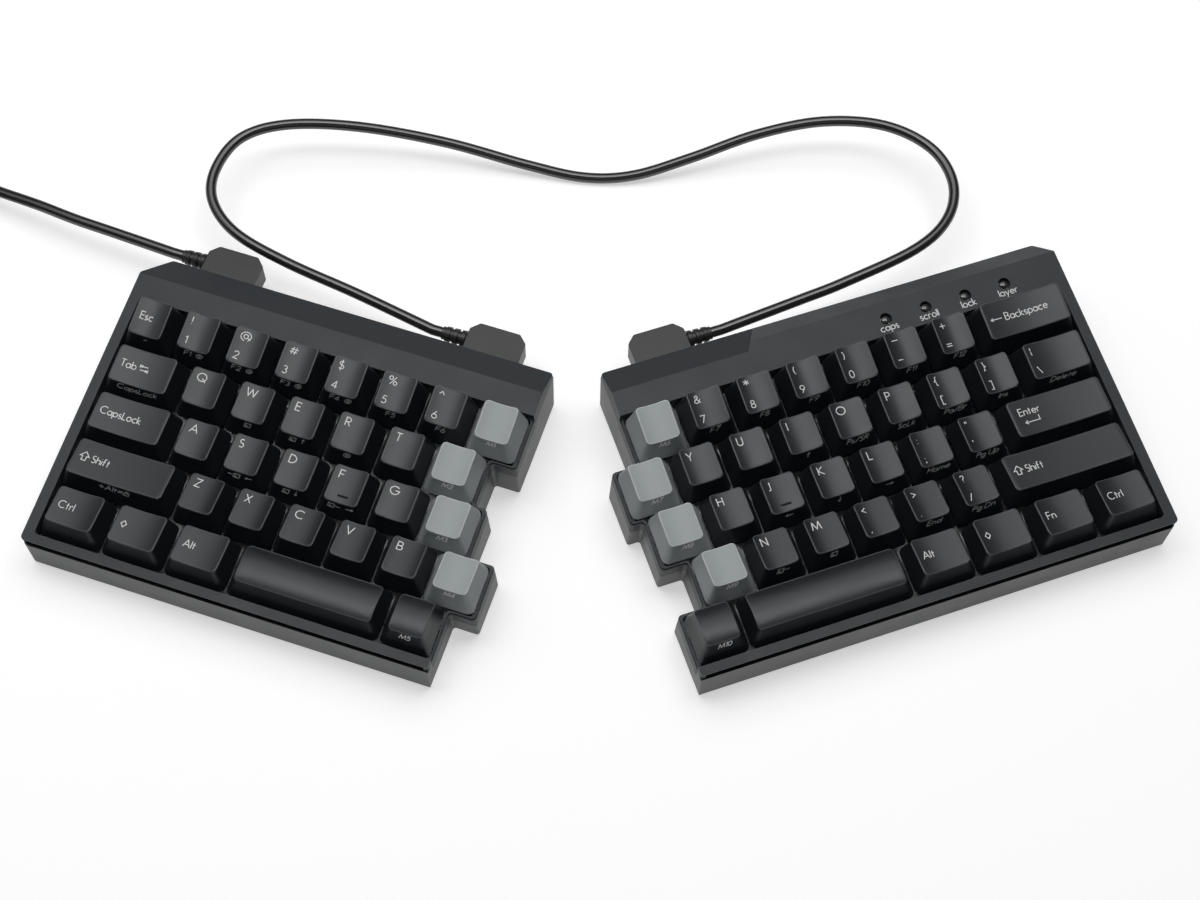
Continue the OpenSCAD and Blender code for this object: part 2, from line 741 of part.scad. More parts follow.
module lens() {
  translate([0, 0, bezel_height - bezel_roof - 0.8]) cylinder(d = lamp_hole + 1.4, h = 0.8);
  intersection() {
    translate([0, 0, bezel_height - bezel_roof - eps]) cylinder(d = lamp_lens, h = bezel_roof - 0.2);
    translate([0, 0, bezel_height - 0.3 - 2 * lamp_lens / 2]) sphere(r = lamp_lens);
  }
}

// Bottom case, drawn in the plate's tilt but cut upright at its front, rear and floor
module upright_block(rows, cut, low) {
  x = widest(rows) + 30;
  translate([0, 0, low])
    linear_extrude(height = 60)
      polygon(rounded([[-side_bezel, front_y], [x, front_y], [x, rear_y], [cut.x - side_bezel, rear_y],
        [-side_bezel, rear_y - cut.y]], case_corner));
}

module rear_room(rows, cut) {
  inside = inner_x(rows) + step_reach - base_wall;
  translate([0, 0, floor_top])
    linear_extrude(height = 60)
      polygon([[base_wall - side_bezel, -4], [inside, -4], [inside, rear_y - base_wall],
        [cut.x + 0.6 * base_wall - side_bezel, rear_y - base_wall],
        [base_wall - side_bezel, rear_y - cut.y - 0.4 * base_wall]]);
}

// Shadow line in the outer face of the stepped wall, just below the parting
module seam(rows) {
  difference() {
    translate([0, 0, -seam_height]) above_parting(rows);
    translate([0, 0, -60])
      linear_extrude(height = 120)
        polygon(rounded(field(rows, step_reach - seam_depth, -far / 4, -far / 2, far / 4), 1));
  }
}

module base_shell(rows, cut) {
  difference() {
    intersection() {
      tilted() translate([0, 0, -60])
        linear_extrude(height = 90)
          polygon(rounded(field(rows, step_reach, -side_bezel - 5, front_p - 12, rear_p + 12), 1));
      upright_block(rows, cut, floor_low);
    }
    intersection() {
      tilted() translate([0, 0, -60])
        linear_extrude(height = 90)
          polygon(rounded(field(rows, step_reach - step_wall, base_wall - side_bezel,
            front_p + base_wall, 2), 1));
      translate([-far / 2, -far / 2, floor_top]) cube([far, far, 60]);
    }
    rear_room(rows, cut);
    tilted() {
      above_parting(rows);
      seam(rows);
    }
  }
}

// Posts under the plate, cut level with the floor below
module posts(rows) {
  intersection() {
    tilted() screw_axes(rows) translate([0, 0, -plate_thick - 40]) cylinder(d = post_diameter, h = 40);
    translate([-far / 2, -far / 2, floor_low]) cube([far, far, 60]);
  }
}

module tilt_spot(x) {
  translate([x, tilt_y, tilt_z]) children();
}

module tilt_spots(rows) {
  for (x = tilt_x(rows)) {
    tilt_spot(x) children();
  }
}

module tilt_pocket(grow, top) {
  wide = tilt_width + 2 * tilt_clear + 2 * grow;
  deep = tilt_length + tilt_thick + 2 * (tilt_clear + tilt_end_gap + grow);
  translate([0, -tilt_length / 2, 0]) block(wide, deep, 10 + top, -10);
}

module tilt_foot() {
  rotate([90, 0, 90])
    linear_extrude(height = tilt_width, center = true) {
      circle(d = tilt_thick);
      translate([-tilt_length, 0]) circle(d = tilt_thick);
      translate([-tilt_length, -tilt_thick / 2]) square([tilt_length, tilt_thick]);
    }
  rotate([0, 90, 0]) cylinder(d = tilt_pin, h = tilt_width + 2 * tilt_clear + 2.6, center = true);
}

module port_spot(x) {
  translate([x, rear_y, port_height]) children();
}

module port_pillar() {
  translate([-port_width / 2 - 1, -base_wall - port_length, floor_top - port_height - eps])
    cube([port_width + 2, port_length + 0.2, port_height - floor_top - port_thick / 2 + eps]);
}

module port_window() {
  wide = port_width + 2 * port_clear;
  high = port_thick + 2 * port_clear;
  translate([-wide / 2, -base_wall - 1, -port_thick / 2]) cube([wide, base_wall + 5, high]);
}

module port_shell() {
  inner_w = port_width - 2 * port_wall;
  inner_t = port_thick - 2 * port_wall;
  translate([0, -0.3, 0])
    difference() {
      translate([-port_width / 2, -port_length, -port_thick / 2]) cube([port_width, port_length, port_thick]);
      translate([-inner_w / 2, -port_length + 1.2, -inner_t / 2]) cube([inner_w, port_length, inner_t]);
    }
}

module bottom_case(rows, cut, ports) {
  seat = screw_bite - case_screw_length - plate_thick;
  difference() {
    union() {
      base_shell(rows, cut);
      posts(rows);
      intersection() {
        tilt_spots(rows) tilt_pocket(pocket_wall, tilt_thick / 2 + tilt_room + pocket_roof);
        translate([-far / 2, -far / 2, floor_low]) cube([far, far, 60]);
      }
      for (x = ports) {
        port_spot(x) port_pillar();
      }
    }
    tilt_spots(rows) tilt_pocket(0, tilt_thick / 2 + tilt_room);
    tilt_spots(rows) rotate([0, 90, 0])
      cylinder(d = tilt_pin + pin_clear, h = tilt_width + 2 * tilt_clear + 2.8, center = true);
    for (x = ports) {
      port_spot(x) port_window();
    }
    for (p = rubber_spots(rows)) {
      translate([p.x, p.y, floor_low - 5]) cylinder(d = rubber_diameter + 0.4, h = 5 + rubber_recess);
    }
    tilted() {
      for (x = case_screw_x(rows)) {
        translate([x, screw_row, -60]) cylinder(d = screw_diameter + 0.6, h = 60);
        translate([x, screw_row, seat - 40]) cylinder(d = screw_head + 0.4, h = 40);
      }
      for (x = plate_screw_x(rows)) {
        translate([x, plate_screw_y, -plate_thick - plate_screw_length])
          cylinder(d = screw_diameter + screw_clear, h = 20);
      }
    }
  }
}

// Screw with its head above the origin and its shank below
module screw(length) {
  translate([0, 0, -length]) cylinder(d = screw_diameter, h = length + eps);
  difference() {
    cylinder(d = screw_head, h = screw_head_thick);
    translate([0, 0, screw_head_thick - 0.6]) cross_bars(2.2, 0.6, 2);
  }
}

module case_screw_set(rows) {
  seat = screw_bite - case_screw_length - plate_thick;
  for (x = case_screw_x(rows)) {
    translate([x, screw_row, seat]) rotate([180, 0, 0]) screw(case_screw_length);
  }
}

module plate_screw_set(rows) {
  for (x = plate_screw_x(rows)) {
    translate([x, plate_screw_y, 0]) screw(plate_screw_length);
  }
}

module rubber_set(rows) {
  for (p = rubber_spots(rows)) {
    translate([p.x, p.y, 0]) {
      cylinder(d1 = rubber_diameter - 1, d2 = rubber_diameter, h = 0.5);
      translate([0, 0, 0.5 - eps]) cylinder(d = rubber_diameter, h = floor_low + rubber_recess - 0.5 + eps);
    }
  }
}

// Angled plug: tip in the port, body along the rear wall, ribbed strain relief towards the outer side
function port_x(rows) = inner_x(rows) - bridge_port;
function relief_end(x) = [x + plug_tip - plug_length - relief_length, rear_y + cable_offset, port_height];

module plug() {
  start = plug_tip - plug_length;
  tip_w = port_width - 2 * port_wall - 2 * port_clear;
  tip_t = port_thick - 2 * port_wall - 2 * port_clear;
  translate([0, 0, -plug_thick / 2])
    linear_extrude(height = plug_thick)
      polygon(rounded([[start, 0], [plug_tip, 0], [plug_tip, plug_depth - plug_cut],
        [plug_tip - plug_cut, plug_depth], [start + plug_cut, plug_depth],
        [start, plug_depth - plug_cut]], 1.2));
  translate([-tip_w / 2, -port_length + 2, -tip_t / 2]) cube([tip_w, port_length - 2 + eps, tip_t]);
  translate([start + eps, cable_offset, 0]) rotate([0, -90, 0]) {
    cylinder(d = relief_diameter - 1.6, h = relief_length + eps);
    for (k = [0:2]) {
      wide = relief_diameter - 0.3 * k;
      translate([0, 0, relief_length * (0.08 + 0.3 * k)])
        cylinder(d1 = wide, d2 = wide - 0.3, h = relief_length * 0.18);
    }
  }
}

// Tubes: rings of a round section along a path, each square to it
function heading(pts, i) = unit(pts[min(i + 1, len(pts) - 1)] - pts[max(i - 1, 0)]);
function tube_ring(p, t, d, n) = let(s = unit(cross(t, [0, 0, 1])), u = cross(s, t))
  [for (k = [0:n - 1]) p + d / 2 * (cos((k + 0.5) * 360 / n) * s + sin((k + 0.5) * 360 / n) * u)];
function bend(a, b, c, d, k) = 0.5 * (2 * b + (c - a) * k + (2 * a - 5 * b + 4 * c - d) * k * k
  + (3 * b - a - 3 * c + d) * k * k * k);
function smooth(pts, n) = let(m = len(pts) - 1) concat([for (i = [0:m - 1], k = [0:n - 1])
  bend(pts[max(i - 1, 0)], pts[i], pts[i + 1], pts[min(i + 2, m)], k / n)], [pts[m]]);

module tube(pts, d, n) {
  loft([for (i = [0:len(pts) - 1]) tube_ring(pts[i], heading(pts, i), d, n)]);
}

// Route of the bridge cable on the surface, from the left plug to the right one
LIE = [
  [-84, 45.5, 5.5], [-113, 62, 2.2], [-134, 76, 1.8], [-144, 91, 1.8], [-144, 106, 1.8],
  [-135, 121, 1.8], [-117, 127.5, 1.8], [-88, 126.5, 1.8], [-53, 119, 1.8], [-20, 108, 1.8],
  [3, 102, 1.8], [23, 103, 1.8], [46, 111.5, 1.8], [73, 123, 1.8], [100, 129.5, 1.8],
  [125, 127.5, 1.8], [143, 116.5, 1.8], [150.5, 100, 1.8], [147, 83, 1.8], [133, 68.5, 1.8],
  [103.5, 52, 3.5], [86, 43, 5.8]];
// Route of the host cable to its coil
RUN = [[-179, 71.5, 8], [-196, 80, 4.5], [-212, 88, 2.6], [-228, 94.5, 2.2], [-246, 101.5, 2.6]];
function lay(p) = [p.x - origin.x, p.y - origin.y, p.z];
function out_of(p, q, run) = p + unit(p - q) * run;
left_out = left_world(relief_end(port_x(LEFT)));
left_back = left_world(relief_end(port_x(LEFT)) + [1, 0, 0]);
right_out = right_world(relief_end(port_x(RIGHT)));
right_back = right_world(relief_end(port_x(RIGHT)) + [1, 0, 0]);
host_out = left_world(relief_end(host_port));
host_back = left_world(relief_end(host_port) + [1, 0, 0]);
bridge_path = concat([left_out], smooth(concat([out_of(left_out, left_back, bridge_cable_diameter)],
  [for (p = LIE) lay(p)], [out_of(right_out, right_back, bridge_cable_diameter)]), 3), [right_out]);

// Coil: one tube that spirals in, climbs a layer over half a turn and spirals out again
coil_low = tie_thick + tie_gap + host_cable_diameter / 2;
coil_entry = 68.8;
coil_tail = 111.2;
coil_outer = coil_inner + coil_step * coil_turns;
coil_start = lay([-262, 108, coil_low]);
coil_centre = coil_start - coil_outer * [cos(coil_entry), sin(coil_entry), 0] - [0, 0, coil_low];
function climb(a) = let(k = max(0, min(1, (a + 90) / 180))) k * k * (3 - 2 * k);
function coil_point(a) = let(r = coil_inner + coil_step * abs(a) / 360)
  coil_centre + [r * cos(a + coil_entry), r * sin(a + coil_entry), coil_low + coil_step * climb(a)];
coil_span = 360 * coil_turns;
coil_arc = [for (a = [-coil_span:15:coil_span + coil_tail]) coil_point(a)];
usb_z = usb_thick / 2;
coil_last = coil_point(coil_span + coil_tail);
coil_end = [coil_last.x - 0.5, coil_last.y - 30, usb_z];
coil_lead = [sin(coil_entry), -cos(coil_entry), 0] * host_cable_diameter;
coil_tail_path = [
  [coil_last.x, coil_last.y - 7, mix(coil_last.z, usb_z, 0.25)],
  [coil_last.x - 0.3, coil_last.y - 18, mix(coil_last.z, usb_z, 0.85)],
  [coil_end.x, coil_end.y + host_cable_diameter, usb_z],
  coil_end];
coil_path = concat([coil_start + coil_lead], coil_arc, coil_tail_path);
host_path = concat([host_out], smooth(concat([out_of(host_out, host_back, host_cable_diameter)],
  [for (p = RUN) lay(p)], [coil_start + 2 * coil_lead]), 3), [coil_path[0]]);
function apart(a, b) = norm(coil_path[a] - coil_path[b]);
coil_last_index = len(coil_path) - 1;
coil_near = min([for (i = [0:coil_last_index], j = [i + 12:1:coil_last_index]) apart(i, j)]);
coil_gap = coil_near - host_cable_diameter;
echo(coil_gap = coil_gap);
function path_length(p) = sum_to([for (i = [1:len(p) - 1]) norm(p[i] - p[i - 1])], len(p) - 1);
echo(left_hinge = [for (x = tilt_x(LEFT)) left_world([x, tilt_y, tilt_z])],
  right_hinge = [for (x = tilt_x(RIGHT)) right_world([x, tilt_y, tilt_z])]);
echo(foot_face = [for (p = rubber_spots(LEFT)) left_world([p.x, p.y, 0])]);
echo(origin = origin, plate_z = plate_z);
echo(bridge_length = path_length(bridge_path));
echo(host_length = path_length(host_path), coil_length = path_length(coil_path));

// Strap round all turns on the side away from the cable's entry
module tie_loop() {
  inside = coil_inner - host_cable_diameter / 2 - tie_gap - 0.8;
  outside = coil_outer + host_cable_diameter / 2 + tie_gap + 0.8;
  high = coil_step + host_cable_diameter + 2 * tie_gap;
  translate([coil_centre.x, coil_centre.y, 0])
    rotate([0, 0, coil_entry - 90])
      rotate([90, 0, 0])
        linear_extrude(height = tie_width, center = true)
          difference() {
            translate([inside - tie_thick, 0])
              square([outside - inside + 2 * tie_thick, high + 2 * tie_thick]);
            translate([inside, tie_thick]) square([outside - inside, high]);
          }
}

module usb_body() {
  mouth = [usb_shell.x - 2 * usb_shell_wall, usb_shell.y - 2, usb_shell.z / 2 - usb_shell_wall / 2];
  translate([coil_end.x, coil_end.y, usb_z]) {
    rotate([90, 0, 0])
      linear_extrude(height = usb_length)
        polygon(rounded([[-usb_width / 2, -usb_thick / 2], [usb_width / 2, -usb_thick / 2],
          [usb_width / 2, usb_thick / 2], [-usb_width / 2, usb_thick / 2]], 1.6));
    difference() {
      translate([0, -usb_length - usb_shell.y / 2 + eps, 0])
        block(usb_shell.x, usb_shell.y, usb_shell.z, -usb_shell.z / 2);
      translate([-mouth.x / 2, -usb_length - usb_shell.y, -usb_shell_wall / 2]) cube(mouth);
    }
  }
}

// Colours of the pieces
dark = [0.09, 0.09, 0.1];
grey = [0.3, 0.31, 0.3];
shell = [0.12, 0.12, 0.13];
metal = [0.7, 0.7, 0.72];

// Nodes
module left_bottom_case() {
  color(shell) left_half() bottom_case(LEFT, left_cut, [port_x(LEFT), host_port]);
}

module right_bottom_case() {
  color(shell) right_half() bottom_case(RIGHT, right_cut, [port_x(RIGHT)]);
}

module left_top_case() {
  color(dark) on_left() difference() {
    top_case(LEFT, left_cut);
    slope_cut(crease_near);
  }
}

module right_top_case() {
  color(dark) on_right() difference() {
    top_case(RIGHT, right_cut);
    slope_cut(crease_far);
    intersection() {
      slope_cut(crease_near);
      translate([0, 0, -10])
        linear_extrude(height = 40)
          polygon([[slope_step, crease_near], [far, crease_near], [far, far / 4],
            [slope_step - slope_step_run * 2, rear_p + (rear_p - crease_near)],
            [slope_step - slope_step_run, rear_p]]);
    }
    lamp_spots() cylinder(d = lamp_hole, h = 40);
  }
}

module switch_plates() {
  color(metal) {
    on_left() plate(LEFT);
    on_right() plate(RIGHT);
  }
}

module circuit_boards() {
  color([0.05, 0.25, 0.12]) {
    on_left() board(LEFT);
    on_right() board(RIGHT);
  }
}

module switch_housings() {
  color([0.05, 0.05, 0.05]) {
    on_left() each_key(LEFT) housing();
    on_right() each_key(RIGHT) housing();
  }
}

module stabilizer_housings() {
  color([0.06, 0.06, 0.06]) {
    on_left() each_stabilizer(LEFT) stabilizer_box();
    on_right() each_stabilizer(RIGHT) stabilizer_box();
  }
}

module indicator_lenses() {
  color([0.85, 0.88, 0.9]) on_right() lamp_spots() lens();
}

module cable_ports() {
  color(metal) {
    left_half() {
      port_spot(port_x(LEFT)) port_shell();
      port_spot(host_port) port_shell();
    }
    right_half() port_spot(port_x(RIGHT)) port_shell();
  }
}

module rubber_feet() {
  color([0.15, 0.15, 0.15]) {
    left_half() rubber_set(LEFT);
    right_half() rubber_set(RIGHT);
  }
}

module case_screws() {
  color(metal) {
    on_left() case_screw_set(LEFT);
    on_right() case_screw_set(RIGHT);
  }
}

module plate_screws() {
  color(metal) {
    on_left() plate_screw_set(LEFT);
    on_right() plate_screw_set(RIGHT);
  }
}

module left_outer_tilt_foot() {
  color(dark) left_half() tilt_spot(tilt_x(LEFT)[0]) tilt_foot();
}

module left_inner_tilt_foot() {
  color(dark) left_half() tilt_spot(tilt_x(LEFT)[1]) tilt_foot();
}

module right_outer_tilt_foot() {
  color(dark) right_half() tilt_spot(tilt_x(RIGHT)[0]) tilt_foot();
}

module right_inner_tilt_foot() {
  color(dark) right_half() tilt_spot(tilt_x(RIGHT)[1]) tilt_foot();
}

module left_bridge_plug() {
  color(dark) left_half() port_spot(port_x(LEFT)) plug();
}

module right_bridge_plug() {
  color(dark) right_half() port_spot(port_x(RIGHT)) plug();
}

module host_plug() {
  color(dark) left_half() port_spot(host_port) plug();
}

module bridge_cable() {
  color(dark) tube(bridge_path, bridge_cable_diameter, 8);
}

module host_cable() {
  color(dark) tube(host_path, host_cable_diameter, 8);
}

module host_cable_coil() {
  color(dark) tube(coil_path, host_cable_diameter, 6);
}

module cable_tie() {
  color(grey) tie_loop();
}

module far_plug() {
  color(dark) usb_body();
}

module left_key(r, i, bar = false) {
  color(dark) on_left() key(LEFT, r, i, bar);
}

module right_key(r, i, bar = false) {
  color(dark) on_right() key(RIGHT, r, i, bar);
}

module left_number_keys() {
  for (i = [1:6]) left_key(0, i);
}

module right_number_keys() {
  for (i = [1:6]) right_key(0, i);
}

function macro_colour(r) = r < ROWS - 1 ? grey : dark;

module left_macro_keys() {
  for (r = [0:ROWS - 1]) color(macro_colour(r)) on_left() key(LEFT, r, len(LEFT[r]) - 1);
}

module right_macro_keys() {
  for (r = [0:ROWS - 1]) color(macro_colour(r)) on_right() key(RIGHT, r, len(RIGHT[r]) - 1);
}

module left_modifier_keys() {
  for (r = [0:ROWS - 2]) left_key(r, 0);
  for (i = [0:2]) left_key(4, i);
}

module right_modifier_keys() {
  for (r = [0, 2, 3]) right_key(r, 0);
  for (i = [0:3]) right_key(4, i);
}

module punctuation_keys() {
  for (i = [0:2]) right_key(1, i);
  for (i = [1:2]) right_key(2, i);
  for (i = [1:3]) right_key(3, i);
}

module key_q() { left_key(1, 1); }
module key_w() { left_key(1, 2); }
module key_e() { left_key(1, 3); }
module key_r() { left_key(1, 4); }
module key_t() { left_key(1, 5); }
module key_a() { left_key(2, 1); }
module key_s() { left_key(2, 2); }
module key_d() { left_key(2, 3); }
module key_f() { left_key(2, 4, true); }
module key_g() { left_key(2, 5); }
module key_z() { left_key(3, 1); }
module key_x() { left_key(3, 2); }
module key_c() { left_key(3, 3); }
module key_v() { left_key(3, 4); }
module key_b() { left_key(3, 5); }
module left_space() { left_key(4, 3); }
module key_y() { right_key(1, 7); }
module key_u() { right_key(1, 6); }
module key_i() { right_key(1, 5); }
module key_o() { right_key(1, 4); }
module key_p() { right_key(1, 3); }
module key_h() { right_key(2, 6); }
module key_j() { right_key(2, 5, true); }
module key_k() { right_key(2, 4); }
module key_l() { right_key(2, 3); }
module key_n() { right_key(3, 5); }
module key_m() { right_key(3, 4); }
module right_space() { right_key(4, 4); }

left_bottom_case();
right_bottom_case();
left_top_case();
right_top_case();
switch_plates();
circuit_boards();
switch_housings();
stabilizer_housings();
indicator_lenses();
cable_ports();
rubber_feet();
case_screws();
plate_screws();
left_outer_tilt_foot();
left_inner_tilt_foot();
right_outer_tilt_foot();
right_inner_tilt_foot();
bridge_cable();
left_bridge_plug();
right_bridge_plug();
host_plug();
host_cable();
host_cable_coil();
cable_tie();
far_plug();
key_q();
key_w();
key_e();
key_r();
key_t();
key_a();
key_s();
key_d();
key_f();
key_g();
key_z();
key_x();
key_c();
key_v();
key_b();
left_space();
key_y();
key_u();
key_i();
key_o();
key_p();
key_h();
key_j();
key_k();
key_l();
key_n();
key_m();
right_space();
left_number_keys();
right_number_keys();
left_macro_keys();
right_macro_keys();
left_modifier_keys();
right_modifier_keys();
punctuation_keys();
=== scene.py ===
"""Dresses a split mechanical keyboard: caps, legends, cases, cables, floor, light and camera."""

import json
import logging
import math
from collections.abc import Callable, Iterable, Sequence
from dataclasses import dataclass, field
from enum import Enum
from typing import ClassVar

import bpy
from mathutils import Matrix, Vector


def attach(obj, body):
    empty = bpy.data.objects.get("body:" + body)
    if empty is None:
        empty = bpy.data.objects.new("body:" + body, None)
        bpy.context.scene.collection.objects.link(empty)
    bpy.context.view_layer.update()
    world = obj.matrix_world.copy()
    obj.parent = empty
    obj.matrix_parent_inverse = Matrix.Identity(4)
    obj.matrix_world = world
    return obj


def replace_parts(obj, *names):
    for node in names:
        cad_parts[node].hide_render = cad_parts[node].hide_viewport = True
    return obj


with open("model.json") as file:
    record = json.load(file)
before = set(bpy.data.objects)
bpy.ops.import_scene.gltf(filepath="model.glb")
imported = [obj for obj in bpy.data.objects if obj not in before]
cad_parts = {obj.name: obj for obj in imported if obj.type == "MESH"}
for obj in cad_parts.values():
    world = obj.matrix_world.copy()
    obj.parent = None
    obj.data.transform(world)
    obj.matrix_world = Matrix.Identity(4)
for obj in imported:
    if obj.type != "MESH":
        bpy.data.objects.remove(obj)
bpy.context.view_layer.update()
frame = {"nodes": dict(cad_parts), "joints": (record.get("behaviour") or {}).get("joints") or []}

LOG = logging.getLogger("split_keyboard")
MM = 0.001
ROOT = "keyboard"
# Point attribute that says where the painted edge highlight goes
EDGE_HIGHLIGHT_MARK = "edge"
SAME_POINT = 0.004
SHARP_ANGLE = math.radians(40)
CLOUDS = 90.0
CLOUD_SHARE = 0.6

Point2 = tuple[float, float]
Point3 = tuple[float, float, float]
Sockets = dict[str | int, object]

# Sizes of the layout in millimetres
PITCH = 19.05
CAP_LIFT = 6.1
BEZEL = 9.1
PLATE_TILT = math.radians(6)
PLATE_Z = 11.9 + 96.25 * math.sin(PLATE_TILT)
FOOT_FROM_INNER = 26.0
FOOT_Y = 13.0
FOOT_Z = 3.6


class Side(Enum):
    """The two halves, with the direction in which their keys are counted from the outer edge."""

    LEFT = 1
    RIGHT = -1

    @property
    def word(self) -> str:
        """Name of the half as the frame spells it."""
        return self.name.lower()


class Print(Enum):
    """Where a legend is printed on a cap."""

    TOP = "top"
    FRONT = "front"


@dataclass(frozen=True)
class KeySpec:
    """One key: its width in units, its frame node and what is printed on it.

    Attributes:
        width: Width in key units.
        node: Frame node and body that the key belongs to.
        top: Lines printed on the top, from the rear to the front.
        front: Small line printed on the front face.
    """

    width: float
    node: str
    top: tuple[str, ...] = ()
    front: str = ""


def letters(word: str, fronts: Sequence[str] = ()) -> list[KeySpec]:
    """Makes one-unit letter keys.

    Args:
        word: Letters from the outer edge to the inner one.
        fronts: Front legends, one for each letter, or none.

    Returns:
        The keys in the same order.
    """
    small = list(fronts) + [""] * (len(word) - len(fronts))
    return [KeySpec(1, f"key_{c.lower()}", (c,), f) for c, f in zip(word, small)]


def pairs(node: str, upper: str, lower: str, fronts: Sequence[str]) -> list[KeySpec]:
    """Makes one-unit keys with two legends each.

    Args:
        node: Frame node of the keys.
        upper: Legends at the rear of the caps.
        lower: Legends at the front of the caps.
        fronts: Front-face legends.

    Returns:
        The keys in the same order.
    """
    return [KeySpec(1, node, (a, b), f) for a, b, f in zip(upper, lower, fronts)]


def macro(side: str, number: int) -> KeySpec:
    """One macro key of a half, with its number on the front face."""
    return KeySpec(1, f"{side}_macro_keys", (), f"M{number}")


LEFT_NUM, RIGHT_NUM = "left_number_keys", "right_number_keys"
LEFT_MOD, RIGHT_MOD = "left_modifier_keys", "right_modifier_keys"
PUNCT = "punctuation_keys"
HOMING = ("key_f", "key_j")
CROWNED = ("left_space", "right_space", "left_macro_keys", "right_macro_keys")

# Rows from the rear, each from the outer edge to the inner one
LEFT_KEYS = (
    (KeySpec(1, LEFT_MOD, ("Esc",), "~"),
     *pairs(LEFT_NUM, "!@#$%^", "123456", ("F1  {disc}", "F2  {disc}", "F3  {disc}", "F4  {disc}", "F5", "F6")),
     macro("left", 1)),
    (KeySpec(1.5, LEFT_MOD, ("Tab {tab}",), "CapsLock"), *letters("QWERT", ("", "{box}", "{box}  {up}", "{disc}")),
     macro("left", 2)),
    (KeySpec(1.75, LEFT_MOD, ("CapsLock",)),
     *letters("ASDFG", ("", "-{box}  {left}", "{box}  {down}", "{box}-  {right}")), macro("left", 3)),
    (KeySpec(2.25, LEFT_MOD, ("{shift} Shift",), "+Alt={lock}"), *letters("ZXCVB"), macro("left", 4)),
    (KeySpec(1.25, LEFT_MOD, ("Ctrl",)), KeySpec(1.25, LEFT_MOD, ("{gem}",)), KeySpec(1.25, LEFT_MOD, ("Alt",)),
     KeySpec(3, "left_space"), macro("left", 5)),
)
RIGHT_KEYS = (
    (KeySpec(2, RIGHT_MOD, ("{back} Backspace",)),
     *pairs(RIGHT_NUM, "+_)(*&", "=-0987", ("F12", "F11", "F10", "F9", "F8", "F7")), macro("right", 6)),
    (KeySpec(1.5, PUNCT, ("|", "\\"), "Delete"), *pairs(PUNCT, "}{", "][", ("Ins", "Pa/Br")),
     *letters("POIUY", ("ScLk", "Ps/SR", "{up}")), macro("right", 7)),
    (KeySpec(2.25, RIGHT_MOD, ("Enter", "{return}")), *pairs(PUNCT, "\":", "';", ("Pg Up", "Home")),
     *letters("LKJH", ("{right}", "{down}", "{left}")), macro("right", 8)),
    (KeySpec(2.75, RIGHT_MOD, ("{shift} Shift",)), *pairs(PUNCT, "?><", "/.,", ("Pg Dn", "End", "")),
     *letters("MN", ("{box}", "{box}-")), macro("right", 9)),
    (KeySpec(1.25, RIGHT_MOD, ("Ctrl",)), KeySpec(1.25, RIGHT_MOD, ("Fn",)), KeySpec(1.25, RIGHT_MOD, ("{gem}",)),
     KeySpec(1.25, RIGHT_MOD, ("Alt",)), KeySpec(3.25, "right_space"), macro("right", 10)),
)


class HalfFrame:
    """Where one half of the keyboard stands, read from its joints.

    Args:
        side: Which half.
        keys: Its keys, row by row.
    """

    def __init__(self, side: Side, keys: Sequence[Sequence[KeySpec]]) -> None:
        self.side = side
        self.keys = keys
        joints = {j["name"]: j for j in frame["joints"]}
        foot = joints[f"{side.word}_inner_tilt_foot_swing"]
        self.across = Vector(foot["axis"]).normalized()
        self.normal = -Vector(joints[f"{side.word}_space_press"]["axis"]).normalized()
        self.back = self.normal.cross(self.across)
        self.level_back = Vector((0, 0, 1)).cross(self.across)
        inner = sum(k.width for k in keys[0]) * PITCH
        self.corner = (Vector(foot["pos_m"]) - self.across * (side.value * (inner - FOOT_FROM_INNER) * MM)
                       - self.level_back * (FOOT_Y * MM) - Vector((0, 0, FOOT_Z * MM)))

    def level(self, x: float, y: float, z: float) -> Vector:
        """Turns a place beside the key field, level with the floor, into the frame.

        Args:
            x: Distance from the outer edge of the key field, in millimetres.
            y: Distance behind the rear edge of the key field.
            z: Height over the floor.

        Returns:
            The point in metres.
        """
        return (self.corner + self.across * (self.side.value * x * MM) + self.level_back * (y * MM)
                + Vector((0, 0, z * MM)))

    def plate(self, x: float, y: float, z: float = 0.0) -> Vector:
        """Turns a place on the tilted plate into the frame.

        Args:
            x: Distance from the outer edge of the key field, in millimetres.
            y: Distance behind the rear edge of the key field, along the plate.
            z: Height over the plate.

        Returns:
            The point in metres.
        """
        return (self.corner + Vector((0, 0, PLATE_Z * MM)) + self.across * (self.side.value * x * MM)
                + self.back * (y * MM) + self.normal * (z * MM))

    def matrix(self, x: float, y: float, z: float = 0.0) -> Matrix:
        """Matrix from millimetres about a place on the plate to the frame in metres.

        Args:
            x: Distance from the outer edge of the key field.
            y: Distance behind the rear edge of the key field.
            z: Height over the plate.

        Returns:
            A right-handed matrix whose first axis points to the typist's right.
        """
        turn = Matrix((self.across, self.back, self.normal)).transposed().to_4x4()
        return Matrix.Translation(self.plate(x, y, z)) @ turn @ Matrix.Scale(MM, 4)

    def key_places(self) -> Iterable[tuple[KeySpec, int, Matrix]]:
        """Yields each key with its row number and the matrix of its cap's base."""
        for row, specs in enumerate(self.keys):
            start = 0.0
            for spec in specs:
                x = (start + spec.width / 2) * PITCH
                start += spec.width
                yield spec, row, self.matrix(x, -(row + 0.5) * PITCH, CAP_LIFT)


def shade(mesh: bpy.types.Mesh) -> None:
    """Shades a mesh smooth but for its sharp edges."""
    mesh.polygons.foreach_set("use_smooth", [True] * len(mesh.polygons))
    mesh.set_sharp_from_angle(angle=SHARP_ANGLE)
    mesh.update()


